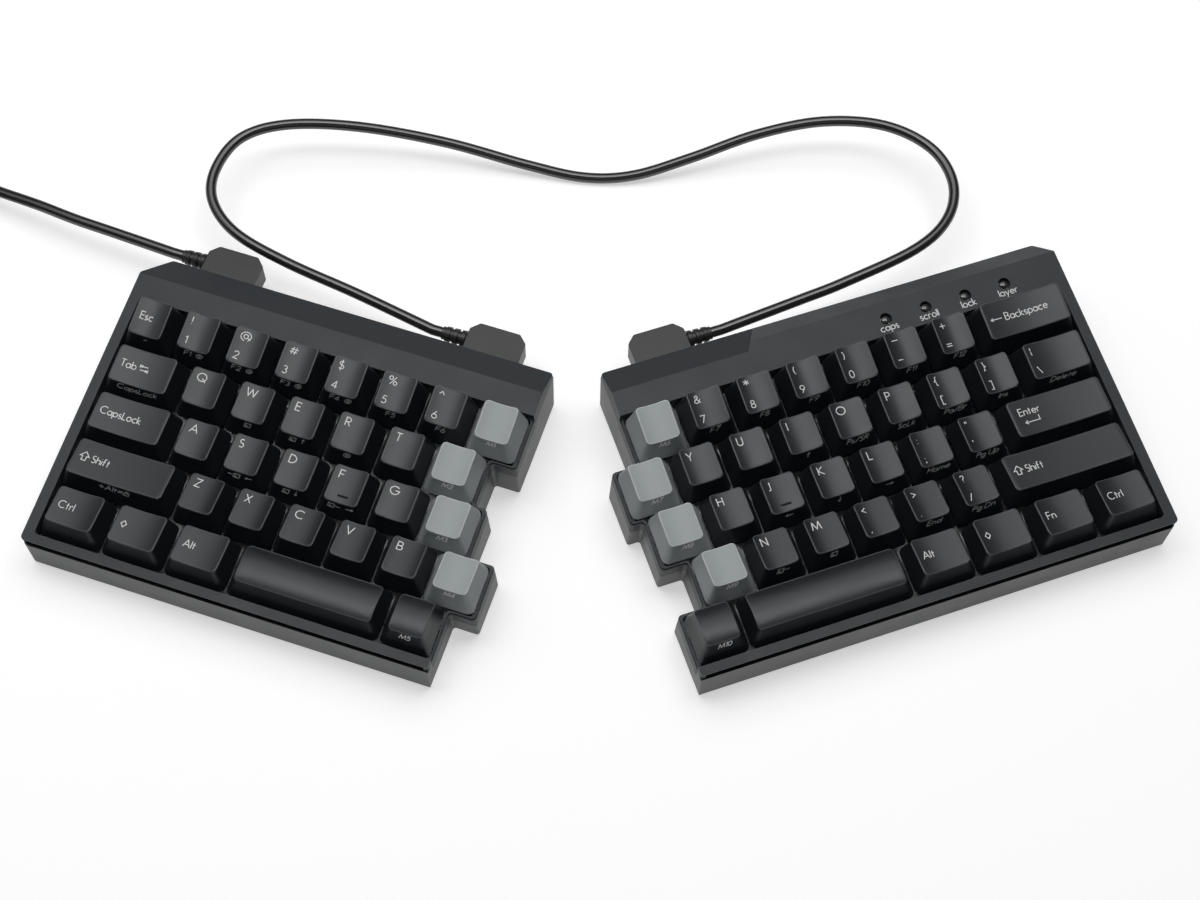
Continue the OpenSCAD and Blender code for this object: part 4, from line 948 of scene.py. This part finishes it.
class Workshop:
    """Makes each material once, from shared groups of a moulded surface's variation and its rounded corners with
    their painted highlight.
    """

    def __init__(self) -> None:
        self.made: dict[Finishes, bpy.types.Material] = {}
        self.surface = self.surface_group()
        self.corners = self.corner_group()

    @staticmethod
    def surface_group() -> Wiring:
        """Builds the group of colour, roughness and grain that all finishes share, with a painted highlight tint
        on points marked as edges.

        Returns:
            The group.
        """
        group = Wiring(bpy.data.node_groups.new("moulded_surface", "ShaderNodeTree"),
                       {"Dark": "Color", "Light": "Color", "Edge": "Color", "Rough Low": "Float",
                        "Rough High": "Float", "Grain": "Float"},
                       {"Color": "Color", "Roughness": "Float", "Height": "Float"})
        given = group.given
        place = group.node("ShaderNodeTexCoord", {}, "Object")
        cloud = group.node("ShaderNodeTexNoise", {"Vector": place, "Scale": CLOUDS, "Detail": 3.0})
        grain = group.node("ShaderNodeTexNoise", {"Vector": place, "Scale": given["Grain"], "Detail": 2.0})
        fine = group.node("ShaderNodeMath", {0: grain, 1: 1 - CLOUD_SHARE}, operation="MULTIPLY")
        blend = group.node("ShaderNodeMath", {0: cloud, 1: CLOUD_SHARE, 2: fine}, operation="MULTIPLY_ADD")
        rough = group.node("ShaderNodeMapRange", {"Value": blend, "From Min": 0.3, "From Max": 0.7,
                                                  "To Min": given["Rough Low"], "To Max": given["Rough High"]})
        # Points marked as edges take the painted highlight tint
        highlight_share = group.node("ShaderNodeAttribute", {}, "Fac", attribute_name=EDGE_HIGHLIGHT_MARK)
        tint = group.mix(blend, given["Dark"], given["Light"])
        group.give({"Color": group.mix(highlight_share, tint, given["Edge"]), "Roughness": rough, "Height": grain})
        return group

    @staticmethod
    def corner_group() -> Wiring:
        """Builds the group that rounds sharp edges in the shading and paints a highlight tint on them.

        Returns:
            The group.
        """
        group = Wiring(bpy.data.node_groups.new("rubbed_corners", "ShaderNodeTree"),
                       {"Color": "Color", "Edge": "Color", "Radius": "Float"},
                       {"Color": "Color", "Normal": "Vector"})
        given = group.given
        bevel = group.node("ShaderNodeBevel", {"Radius": given["Radius"]}, samples=6)
        flat = group.node("ShaderNodeNewGeometry", {}, "True Normal")
        turn = group.node("ShaderNodeVectorMath", {0: bevel, 1: flat}, "Value", operation="DOT_PRODUCT")
        # Share of the painted highlight tint, rising where the rounded normal turns away from the face
        share = group.node("ShaderNodeMapRange", {"Value": turn, "From Min": 0.99, "From Max": 0.8})
        group.give({"Color": group.mix(share, given["Color"], given["Edge"]), "Normal": bevel})
        return group

    def get(self, choice: Finishes) -> bpy.types.Material:
        """Gives a finish's material.

        Args:
            choice: The finish.

        Returns:
            Its material, made on first use.
        """
        if choice not in self.made:
            self.made[choice] = self.make(choice.value)
        return self.made[choice]

    def make(self, finish: Finish) -> bpy.types.Material:
        """Builds the material of one finish.

        Args:
            finish: The finish.

        Returns:
            The material.
        """
        material = bpy.data.materials.new(finish.name)
        material.use_nodes = True
        wiring = Wiring(material.node_tree)
        # Tint of the painted highlight on edges, the light tint where a finish names none
        highlight_tint = (*(finish.edge or finish.light), 1)
        surface = wiring.use(self.surface, {
            "Dark": (*finish.dark, 1), "Light": (*finish.light, 1), "Edge": highlight_tint, "Rough Low": finish.rough[0],
            "Rough High": finish.rough[1], "Grain": finish.grain / MM})
        colour = surface["Color"]
        bump = {"Strength": 1.0, "Distance": finish.relief * MM, "Height": surface["Height"]}
        if finish.round_edge:
            corner = wiring.use(self.corners, {"Color": colour, "Edge": highlight_tint, "Radius": finish.round_edge * MM})
            colour = corner["Color"]
            bump["Normal"] = corner["Normal"]
        wiring.fill(material.node_tree.nodes["Principled BSDF"], {
            "Base Color": colour, "Roughness": surface["Roughness"], "Metallic": finish.metallic,
            "Specular IOR Level": finish.specular, "Coat Weight": finish.coat,
            "Normal": wiring.node("ShaderNodeBump", bump)})
        return material


SHOP = Workshop()


def dress(node: str, choice: Finishes) -> bpy.types.Object:
    """Gives a frame node its finish.

    Args:
        node: The node.
        choice: The finish.

    Returns:
        The node's object.
    """
    piece = frame["nodes"][node]
    piece.data.materials.clear()
    piece.data.materials.append(SHOP.get(choice))
    LOG.info("dressed %s with %s", node, choice.value.name)
    return piece


class Stem(Enum):
    """What stands under a cap, with its width, depth and unit of height in millimetres."""

    SLIDER = (6.8, 5.6, 6.5)
    BOSS = (5.6, 5.6, 1.0)
    POST = (5.2, 3.8, 1.0)

    @property
    def label(self) -> str:
        """Name of its size in the tree."""
        return f"{self.name.title()} Size"


@dataclass
class StemPlaces:
    """Where the sliders, bosses and posts of one node stand.

    Attributes:
        points: Their feet.
        kinds: What stands on each point, counted as in Stem.
        reaches: Heights, in each form's unit.
    """

    points: list[Vector] = field(default_factory=list)
    kinds: list[int] = field(default_factory=list)
    reaches: list[float] = field(default_factory=list)

    def add(self, stem: Stem, point: Vector, reach: float = 1.0) -> None:
        """Notes one place.

        Args:
            stem: What stands there.
            point: Its foot.
            reach: Its height, in the form's unit.
        """
        self.points.append(point)
        self.kinds.append(list(Stem).index(stem))
        self.reaches.append(reach)


def stem_growth() -> Growth:
    """Makes the tree that stands a slider, boss or post on each point.

    Returns:
        The tree.
    """
    growth = Growth("key_stems", {**{stem.label: "Vector" for stem in Stem}, "Turn": "Vector"})
    kind = growth.node("GeometryNodeInputNamedAttribute", {"Name": "kind"}, data_type="INT")
    reach = growth.node("GeometryNodeInputNamedAttribute", {"Name": "reach"}, data_type="FLOAT")
    scale = growth.node("ShaderNodeCombineXYZ", {"X": 1.0, "Y": 1.0, "Z": reach})
    placed = []
    for number, stem in enumerate(Stem):
        if stem is Stem.BOSS:
            form = growth.node("GeometryNodeMeshCylinder", {"Vertices": 24, "Radius": 0.5, "Depth": 1.0})
        else:
            form = growth.node("GeometryNodeMeshCube", {"Size": (1, 1, 1)})
        raised = growth.node("GeometryNodeTransform", {"Geometry": form, "Translation": (0, 0, 0.5)})
        sized = growth.node("GeometryNodeTransform", {"Geometry": raised, "Scale": growth.given[stem.label]})
        chosen = growth.node("FunctionNodeCompare", {"A": kind, "B": number}, data_type="INT", operation="EQUAL")
        placed.append(growth.node("GeometryNodeInstanceOnPoints", {
            "Points": growth.given["Geometry"], "Instance": sized, "Selection": chosen,
            "Rotation": growth.given["Turn"], "Scale": scale}))
    growth.close(growth.node("GeometryNodeJoinGeometry", {"Geometry": placed}))
    return growth


@dataclass
class KeySet:
    """All caps of one half, with what is printed on them and what carries them.

    Attributes:
        half: The half that carries them.
        stems: Tree that stands sliders, bosses and posts under the caps.
        letter: Lettering of single letters on the tops.
        digit: Lettering of stacked pairs.
        word: Lettering of words.
        small: Lettering on the front faces.
        macro: Lettering on the front faces of the macro keys.
        side_margin: Distance of the legends from the left edge of the top.
        rear_margin: Distance of the rear legends from its rear edge.
        front_margin: Distance of the front legends from its front edge.
        front_drop: Distance of the front-face legends below the top edge.
        word_line: Base line of a word, from the middle of the top.
        enter_word: Place of the word on a key of two lines, from the left margin and the middle.
        enter_sign: Place of the sign below it.
        post_low: Height of a stabilizer post's foot over the plate.
        post_near: Distance of a post from the middle of a key of two to three units.
        post_far: Distance of a post from the middle of a wider key.
    """

    half: HalfFrame
    stems: Growth
    letter: Lettering = Lettering(3.05, 0.37, stretch=1.1)
    digit: Lettering = Lettering(2.75, 0.33, stretch=1.12)
    word: Lettering = Lettering(2.75, 0.34)
    small: Lettering = Lettering(2.4, 0.28, 14.0, 1.15)
    macro: Lettering = Lettering(2.1, 0.33, 14.0, 1.08)
    side_margin: float = 2.0
    rear_margin: float = 1.5
    front_margin: float = 1.6
    front_drop: float = 0.5
    word_line: float = -1.0
    enter_word: Point2 = (1.0, 0.8)
    enter_sign: Point2 = (2.0, -3.0)
    post_low: float = 0.8
    post_near: float = 11.94
    post_far: float = 19.05

    def build(self) -> None:
        """Builds each node's caps and its print, and lets them ride on the node's body."""
        caps: dict[str, MeshBag] = {}
        tops: dict[str, MeshBag] = {}
        fronts: dict[str, MeshBag] = {}
        feet: dict[str, StemPlaces] = {}
        for spec, row, place in self.half.key_places():
            last = row == len(CAP_ROWS) - 1
            shape = CapShape(CAP_ROWS[row], spec.width, last and spec.node in CROWNED)
            is_grey = "macro" in spec.node and not last
            shape.build(caps.setdefault(spec.node, MeshBag()), place, int(is_grey))
            if spec.node in HOMING:
                shape.build_bar(caps[spec.node], place, 0)
            self.stand(feet.setdefault(spec.node, StemPlaces()), shape, place)
            self.print_top(tops.setdefault(spec.node, MeshBag()), spec, shape, place)
            self.print_front(fronts.setdefault(spec.node, MeshBag()), spec, shape, place)
        for node, bag in caps.items():
            piece = bag.make(f"{node}_caps", [SHOP.get(Finishes.CAP_DARK), SHOP.get(Finishes.CAP_GREY)])
            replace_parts(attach(piece, node), node)
            LOG.info("built %s", piece.name)
        for node, places in feet.items():
            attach(self.grow_stems(node, places), node)
        for kind, bags in ((Print.TOP, tops), (Print.FRONT, fronts)):
            for node, bag in bags.items():
                if bag.faces:
                    # Front legends take a copy of the print darkened as painted shade, those on macro keys a copy
                    # lightened as painted light
                    front = Finishes.MACRO_PRINT if "macro" in node else Finishes.DIM_PRINT
                    finish = front if kind is Print.FRONT else Finishes.PRINT
                    piece = bag.make(f"{node}_{kind.value}_print", [SHOP.get(finish)])
                    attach(piece, node)
                    LOG.info("printed %s", piece.name)

    def stand(self, places: StemPlaces, shape: CapShape, place: Matrix) -> None:
        """Notes what stands under a cap.

        Args:
            places: Places of its node.
            shape: The cap.
            place: The cap's matrix.
        """
        roof = shape.ceiling + shape.roof / 3
        boss_low = Stem.SLIDER.value[2] - CAP_LIFT
        post_low = self.post_low - CAP_LIFT
        places.add(Stem.SLIDER, place @ Vector((0, 0, -CAP_LIFT)))
        places.add(Stem.BOSS, place @ Vector((0, 0, boss_low)), roof - boss_low)
        if shape.width >= 2:
            away = self.post_far if shape.width >= 3 else self.post_near
            for x in (-away, away):
                places.add(Stem.POST, place @ Vector((x, 0, post_low)), roof - post_low)

    def grow_stems(self, node: str, places: StemPlaces) -> bpy.types.Object:
        """Grows the sliders, bosses and posts of one node.

        Args:
            node: The node.
            places: Where they stand.

        Returns:
            The piece.
        """
        values = {stem.label: [size * MM for size in stem.value] for stem in Stem}
        values["Turn"] = list(self.half.matrix(0, 0).to_3x3().normalized().to_euler())
        values["Material"] = SHOP.get(Finishes.INNER_BLACK)
        piece = self.stems.grow(f"{node}_stems", places.points, [], values,
                                {"kind": ("INT", places.kinds), "reach": ("FLOAT", places.reaches)})
        LOG.info("grew %s", piece.name)
        return piece

    def print_top(self, bag: MeshBag, spec: KeySpec, shape: CapShape, place: Matrix) -> None:
        """Prints a key's top legends.

        Args:
            bag: Piece to add to.
            spec: The key.
            shape: Its cap.
            place: Its cap's matrix.
        """
        left = -(shape.top_width + shape.more) / 2 + self.side_margin
        rear = shape.top_depth / 2 - self.rear_margin
        front = -shape.top_depth / 2 + self.front_margin
        lines = [t for t in spec.top if t]
        if not lines:
            return
        if len(lines) == 2 and len(lines[0]) == 1:
            print_line(bag, lines[0], (left, rear - self.digit.height), self.digit, shape.on_top, place)
            print_line(bag, lines[1], (left, front), self.digit, shape.on_top, place)
        elif len(lines) == 2:
            for line, (x, y) in zip(lines, (self.enter_word, self.enter_sign)):
                print_line(bag, line, (left + x, y), self.word, shape.on_top, place)
        elif len(lines[0]) == 1:
            print_line(bag, lines[0], (left, rear - self.letter.height), self.letter, shape.on_top, place)
        else:
            print_line(bag, lines[0], (left, self.word_line), self.word, shape.on_top, place)

    def print_front(self, bag: MeshBag, spec: KeySpec, shape: CapShape, place: Matrix) -> None:
        """Prints a key's front legend.

        Args:
            bag: Piece to add to.
            spec: The key.
            shape: Its cap.
            place: Its cap's matrix.
        """
        if spec.front:
            style = self.macro if "macro" in spec.node else self.small
            print_line(bag, spec.front, (0.0, -style.height - self.front_drop), style, shape.on_front, place,
                       centred=True)


def smooth(points: Sequence[Vector], steps: int) -> list[Vector]:
    """Smooth curve through points.

    Args:
        points: Points that the curve passes.
        steps: Stretches between two of them.

    Returns:
        The curve's points.
    """
    last = len(points) - 1
    curve = []
    for i in range(last):
        a, b, c, d = points[max(i - 1, 0)], points[i], points[i + 1], points[min(i + 2, last)]
        for k in range(steps):
            t = k / steps
            curve.append(0.5 * (2 * b + (c - a) * t + (2 * a - 5 * b + 4 * c - d) * t ** 2
                                + (3 * b - a - 3 * c + d) * t ** 3))
    return curve + [points[last]]


def path_length(points: Sequence[Vector]) -> float:
    """Length of a path of straight stretches."""
    return sum((b - a).length for a, b in zip(points, points[1:]))


# Routes of the cables, in millimetres from midway between the inner rear corners
BRIDGE_LIE = (
    (-82.9, 40.0, 14.5), (-110.8, 53.7, 15.3), (-131.2, 66.6, 16.2), (-140.8, 80.7, 17.0), (-140.6, 95.0, 17.6),
    (-131.8, 109.3, 18.0), (-114.2, 115.7, 18.0), (-86.1, 115.8, 16.5), (-52.3, 112.4, 11.0), (-19.9, 105.9, 4.8),
    (3.0, 101.7, 2.2), (22.9, 101.9, 3.4), (45.6, 107.1, 8.0), (71.6, 114.2, 14.0), (97.5, 117.6, 18.0),
    (121.6, 114.6, 19.5), (139.2, 103.9, 19.5), (146.6, 88.3, 18.8), (143.4, 72.4, 17.8), (130.0, 58.9, 16.8),
    (101.6, 44.6, 15.5), (84.8, 37.7, 14.5),
)
HOST_RUN = (
    (-177.5, 67.9, 13.6), (-193.5, 74.4, 13.0), (-209.0, 81.7, 12.0), (-225.4, 89.2, 10.0), (-244.6, 98.8, 6.5),
)


@dataclass
class CableSet:
    """The bridge cable, the host cable with its coil, and their plugs.

    Attributes:
        left: Left half.
        right: Right half.
        bridge_diameter: Diameter of the bridge cable in millimetres.
        host_diameter: Diameter of the host cable.
        sides: Faces round a cable.
        plug_reach: Distance from a port's middle to the end of its plug's strain relief.
        bridge_port: Distance of a bridge port from the inner edge of the rear row.
        host_port: Distance of the host port from the outer edge.
        rear: Distance of the rear wall behind the key field.
        cable_offset: Distance of a cable's axis behind the rear wall.
        port_height: Height of the ports.
        coil_entry: Angle in degrees at which the cable enters the coil.
        coil_tail: Angle that it turns beyond the last full turn.
        coil_turns: Turns in each of the two layers.
        coil_inner: Radius of the innermost turn.
        coil_step: Distance between turns and between layers.
        coil_low: Height of the lower layer.
        coil_start: Place where the coil begins.
        far_plug_z: Height of the cable in the far plug.
    """

    left: HalfFrame
    right: HalfFrame
    bridge_diameter: float = 4.2
    host_diameter: float = 4.3
    sides: int = 20
    plug_reach: float = 25.0
    bridge_port: float = 21.0
    host_port: float = 26.0
    rear: float = 21.0
    cable_offset: float = 9.0
    port_height: float = 14.5
    coil_entry: float = 68.8
    coil_tail: float = 111.2
    coil_turns: int = 5
    coil_inner: float = 11.0
    coil_step: float = 4.6
    coil_low: float = 3.05
    coil_start: Point2 = (-262.0, 108.0)
    far_plug_z: float = 4.8

    def __post_init__(self) -> None:
        """Finds the point midway between the halves' inner rear corners."""
        inner = [h.level(sum(k.width for k in h.keys[0]) * PITCH, self.rear, 0) for h in (self.left, self.right)]
        self.middle = (inner[0] + inner[1]) / 2

    def lay(self, p: Point3) -> Vector:
        """A route's point in the frame."""
        return self.middle + Vector(p) * MM

    def plug_end(self, half: HalfFrame, port: float) -> tuple[Vector, Vector]:
        """Where a cable leaves its plug.

        Args:
            half: Half that holds the plug.
            port: Distance of the port from the outer edge.

        Returns:
            The point and the direction of the cable there.
        """
        point = half.level(port - self.plug_reach, self.rear + self.cable_offset, self.port_height)
        return point, -half.across * half.side.value

    def bridge_port_x(self, half: HalfFrame) -> float:
        """Distance of a half's bridge port from its outer edge."""
        return sum(k.width for k in half.keys[0]) * PITCH - self.bridge_port

    def coil_point(self, angle: float) -> Vector:
        """Point of the coil at an angle from the middle of its length."""
        outer = self.coil_inner + self.coil_step * self.coil_turns
        entry = math.radians(self.coil_entry)
        centre = Vector((*self.coil_start, 0)) - outer * Vector((math.cos(entry), math.sin(entry), 0))
        k = max(0.0, min(1.0, (angle + 90) / 180))
        radius = self.coil_inner + self.coil_step * abs(angle) / 360
        turn = math.radians(angle) + entry
        rise = self.coil_low + self.coil_step * k * k * (3 - 2 * k)
        return self.lay(tuple(centre + Vector((radius * math.cos(turn), radius * math.sin(turn), rise))))

    def bridge_path(self) -> list[Vector]:
        """Centreline of the bridge cable."""
        (a, out_a), (b, out_b) = (self.plug_end(h, self.bridge_port_x(h)) for h in (self.left, self.right))
        run = self.bridge_diameter * MM
        return [a, *smooth([a + out_a * run, *map(self.lay, BRIDGE_LIE), b + out_b * run], 8), b]

    def host_path(self) -> list[Vector]:
        """Centreline of the host cable, its run and its coil."""
        start, out = self.plug_end(self.left, self.host_port)
        run = self.host_diameter * MM
        entry = math.radians(self.coil_entry)
        tangent = Vector((math.sin(entry), -math.cos(entry), 0))
        span = 360 * self.coil_turns
        first = self.coil_point(-span)
        turns = int((2 * span + self.coil_tail) / 10)
        arc = [self.coil_point(-span + (2 * span + self.coil_tail) * k / turns) for k in range(turns + 1)]
        last = arc[-1]
        down = self.far_plug_z * MM
        steps = ((0.0, 7.0, 0.25), (0.3, 18.0, 0.85), (0.5, 30.0 - self.host_diameter, 1.0), (0.5, 30.0, 1.0))
        tail = [Vector((last.x - a * MM, last.y - b * MM, last.z + (down - last.z) * c)) for a, b, c in steps]
        lead = smooth([start + out * run, *map(self.lay, HOST_RUN), first + tangent * (2 * run)], 6)
        return [start, *lead, first + tangent * run, *arc, *smooth([last, *tail], 6)[1:]]

    @staticmethod
    def sweep() -> Growth:
        """Makes the tree that sweeps a ring along a path.

        Returns:
            The tree.
        """
        growth = Growth("cable_sweep", {"Radius": "Float", "Sides": "Int"})
        path = growth.node("GeometryNodeMeshToCurve", {"Mesh": growth.given["Geometry"]})
        ring = growth.node("GeometryNodeCurvePrimitiveCircle",
                           {"Resolution": growth.given["Sides"], "Radius": growth.given["Radius"]})
        growth.close(growth.node("GeometryNodeCurveToMesh",
                                 {"Curve": path, "Profile Curve": ring, "Fill Caps": True}))
        return growth

    def tube(self, growth: Growth, name: str, points: Sequence[Vector], diameter: float) -> bpy.types.Object:
        """Sweeps one cable.

        Args:
            growth: Tree that sweeps it.
            name: Name of the piece.
            points: Its centreline.
            diameter: Its diameter in millimetres.

        Returns:
            The cable.
        """
        edges = [(i, i + 1) for i in range(len(points) - 1)]
        return growth.grow(name, points, edges, {"Radius": diameter / 2 * MM, "Sides": self.sides,
                                                 "Material": SHOP.get(Finishes.JACKET)})

    def build(self) -> None:
        for node in ("left_bridge_plug", "right_bridge_plug", "host_plug", "far_plug"):
            dress(node, Finishes.PLUG)
        dress("cable_tie", Finishes.TIE)
        growth = self.sweep()
        path = self.bridge_path()
        bridge = self.tube(growth, "bridge_lead", path, self.bridge_diameter)
        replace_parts(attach(bridge, ROOT), "bridge_cable")
        LOG.info("laid bridge cable of %.3f m", path_length(path))
        path = self.host_path()
        host = self.tube(growth, "host_lead", path, self.host_diameter)
        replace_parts(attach(host, ROOT), "host_cable", "host_cable_coil")
        LOG.info("laid host cable of %.3f m", path_length(path))


INNER_FINISHES = {
    "switch_housings": Finishes.INNER_BLACK, "stabilizer_housings": Finishes.INNER_BLACK,
    "switch_plates": Finishes.PLATE, "circuit_boards": Finishes.BOARD, "cable_ports": Finishes.STEEL,
    "indicator_lenses": Finishes.LENS, "rubber_feet": Finishes.RUBBER, "case_screws": Finishes.SCREW,
    "plate_screws": Finishes.SCREW,
}


@dataclass
class CaseSet:
    """Cases, plates, boards, switches, feet and lamps, with the words beside the lamps.

    Attributes:
        left: Left half.
        right: Right half, which carries the lamps.
        lamp_first: Distance of the first lamp from the outer edge.
        lamp_pitch: Distance between lamps.
        label_row: Base line of the words behind the key field.
        label: Lettering of the words.
        ledge_reach: Distance from the front within which the groove's floor lies.
        ledge_facing: Least cosine between the groove's floor and the plate.
    """

    left: HalfFrame
    right: HalfFrame
    lamp_first: float = 18.8
    lamp_pitch: float = 15.9
    label_row: float = 2.2
    label: Lettering = Lettering(2.7, 0.34)
    ledge_reach: float = 6.0
    ledge_facing: float = 0.997

    def build(self) -> None:
        """Dresses the nodes and prints the words."""
        for half in (self.left, self.right):
            word = half.side.word
            dress(f"{word}_top_case", Finishes.CASE_TOP)
            self.blacken_groove(dress(f"{word}_bottom_case", Finishes.CASE_BASE), half)
            for place in ("outer", "inner"):
                dress(f"{word}_{place}_tilt_foot", Finishes.PLUG)
        for node, finish in INNER_FINISHES.items():
            dress(node, finish)
        self.print_labels()

    def blacken_groove(self, case: bpy.types.Object, half: HalfFrame) -> None:
        """Paints shade on the floor of the front groove with the black inner finish.

        Args:
            case: Bottom case.
            half: Its half.
        """
        mesh = case.data
        mesh.materials.append(SHOP.get(Finishes.INNER_BLACK))
        front = min(v.co.dot(half.back) for v in mesh.vertices) + self.ledge_reach * MM
        for face in mesh.polygons:
            is_floor = face.normal.dot(half.normal) > self.ledge_facing and face.center.dot(half.back) < front
            # The groove's floor takes the black finish as painted shade
            face.material_index = int(is_floor)

    def print_labels(self) -> None:
        """Prints a plain word beside each lamp."""
        bag = MeshBag()
        for number, word in enumerate(("layer", "lock", "scroll", "caps")):
            place = self.right.matrix(self.lamp_first + number * self.lamp_pitch, self.label_row, BEZEL)
            print_line(bag, word, (0, 0), self.label, lambda u, v: (Vector((u, v, 0)), Vector((0, 0, 1))), place,
                       centred=True)
        piece = bag.make("lamp_words", [SHOP.get(Finishes.PRINT)])
        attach(piece, ROOT)
        LOG.info("printed %s", piece.name)


@dataclass(frozen=True)
class Softbox:
    """A soft lamp: its place, what it faces, its size in metres and its power in watts."""

    name: str
    place: Point3
    target: Point3
    size: Point2
    power: float


@dataclass
class Studio:
    """Floor, lamps, sky and camera.

    Attributes:
        middle: Point midway between the halves' inner rear corners.
        lens: Focal length in millimetres.
        sensor: Sensor width in millimetres.
        place: Camera place from that point, in millimetres.
        azimuth: Camera azimuth in degrees.
        elevation: Camera elevation in degrees.
        roll: Camera roll in degrees.
        floor_size: Side of the floor in metres.
        floor_tint: Grey of the floor.
        paper_white: White that the floor adds by itself to what the camera and mirrors see.
        far_white: More white that the camera sees far from the keyboard, where no lamp reaches.
        fade: Distances in metres between which that white comes in.
        sky: Strength of the even sky.
        boxes: The lamps.
    """

    middle: Vector
    lens: float = 60.49
    sensor: float = 36.0
    place: Point3 = (-1.75, -355.8, 672.9)
    azimuth: float = -1.758
    elevation: float = 63.39
    roll: float = 1.537
    floor_size: float = 30.0
    floor_tint: float = 0.62
    paper_white: float = 0.52
    far_white: float = 0.9
    fade: Point2 = (0.7, 1.8)
    sky: float = 0.08
    boxes: tuple[Softbox, ...] = (
        Softbox("near_panel", (-0.07, 0.115, 1.2), (-0.07, 0.1151, 0), (1.3, 0.35), 6.9),
        Softbox("middle_panel", (-0.07, 0.45, 1.2), (-0.07, 0.4501, 0), (1.3, 0.32), 3.2),
        Softbox("far_panel", (-0.07, 0.81, 1.2), (-0.07, 0.8101, 0), (1.3, 0.4), 3.2),
        Softbox("left_panel", (-1.31, 0.35, 1.2), (-1.31, 0.3501, 0), (1.18, 1.0), 3.4),
        Softbox("right_panel", (1.04, 0.35, 1.2), (1.04, 0.3501, 0), (0.92, 1.0), 0.6),
        Softbox("front_fill", (0.25, -1.5, 1.3), (0, 0, 0), (1.2, 0.8), 0.9),
    )

    def build(self) -> None:
        """Builds the whole stage."""
        self.floor()
        self.light()
        self.camera()
        bpy.context.scene.view_settings.view_transform = "Standard"

    def floor(self) -> None:
        """Lays a plain pale floor under the feet."""
        half = self.floor_size / 2
        bag = MeshBag()
        bag.add([Vector((x * half, y * half, 0)) for x, y in ((-1, -1), (1, -1), (1, 1), (-1, 1))], [(0, 1, 2, 3)])
        bag.make("floor", [self.paper()])

    def paper(self) -> bpy.types.Material:
        """Makes the floor's material, white to the camera and to mirrors, but no lamp to the keyboard.

        Returns:
            The material.
        """
        material = bpy.data.materials.new("floor_paper")
        material.use_nodes = True
        wiring = Wiring(material.node_tree)
        ray = wiring.tree.nodes.new("ShaderNodeLightPath").outputs
        seen = ray["Is Camera Ray"]
        for kind in ("Is Glossy Ray", "Is Transmission Ray"):
            seen = wiring.node("ShaderNodeMath", {0: seen, 1: ray[kind]}, operation="MAXIMUM")
        place = wiring.node("ShaderNodeTexCoord", {}, "Object")
        away = wiring.node("ShaderNodeVectorMath", {0: place}, "Value", operation="LENGTH")
        near, distant = self.fade
        far = wiring.node("ShaderNodeMapRange", {"Value": away, "From Min": near, "From Max": distant,
                                                 "To Max": self.far_white}, interpolation_type="SMOOTHSTEP")
        shown = wiring.node("ShaderNodeMath", {0: far, 1: ray["Is Camera Ray"]}, operation="MULTIPLY")
        glow = wiring.node("ShaderNodeMath", {0: seen, 1: self.paper_white, 2: shown}, operation="MULTIPLY_ADD")
        wiring.fill(material.node_tree.nodes["Principled BSDF"], {
            "Base Color": (*grey(self.floor_tint), 1), "Roughness": 0.9, "Specular IOR Level": 0.1,
            "Emission Color": (1, 1, 1, 1), "Emission Strength": glow})
        return material

    def light(self) -> None:
        """Hangs the lamps and sets an even sky."""
        for box in self.boxes:
            lamp = bpy.data.lights.new(box.name, "AREA")
            lamp.shape = "RECTANGLE"
            lamp.size, lamp.size_y = box.size
            lamp.energy = box.power
            lit = bpy.data.objects.new(box.name, lamp)
            lit.location = box.place
            aim = Vector(box.target) - Vector(box.place)
            lit.rotation_euler = aim.to_track_quat("-Z", "Y").to_euler()
            bpy.context.scene.collection.objects.link(lit)
        world = bpy.data.worlds.new("studio_sky")
        world.use_nodes = True
        back = world.node_tree.nodes["Background"]
        back.inputs["Color"].default_value = (1, 1, 1, 1)
        back.inputs["Strength"].default_value = self.sky
        bpy.context.scene.world = world

    def camera(self) -> None:
        """Sets the camera at the photograph's angle."""
        az, el, roll = (math.radians(a) for a in (self.azimuth, self.elevation, self.roll))
        back = Vector((math.sin(az) * math.cos(el), -math.cos(az) * math.cos(el), math.sin(el)))
        right = Vector((0, 0, 1)).cross(back).normalized()
        up = back.cross(right)
        side = right * math.cos(roll) + up * math.sin(roll)
        head = up * math.cos(roll) - right * math.sin(roll)
        data = bpy.data.cameras.new("camera")
        data.lens = self.lens
        data.sensor_width = self.sensor
        data.sensor_fit = "HORIZONTAL"
        data.clip_end = 20.0
        eye = bpy.data.objects.new("camera", data)
        turn = Matrix((side, head, back)).transposed().to_4x4()
        eye.matrix_world = Matrix.Translation(self.middle + Vector(self.place) * MM) @ turn
        bpy.context.scene.collection.objects.link(eye)
        bpy.context.scene.camera = eye


def main() -> None:
    """Builds every sub-assembly in order."""
    logging.basicConfig(level=logging.INFO, format="%(message)s")
    left, right = HalfFrame(Side.LEFT, LEFT_KEYS), HalfFrame(Side.RIGHT, RIGHT_KEYS)
    cables = CableSet(left, right)
    Studio(cables.middle).build()
    cables.build()
    CaseSet(left, right).build()
    stems = stem_growth()
    for half in (left, right):
        KeySet(half, stems).build()


if __name__ == "__main__":
    main()
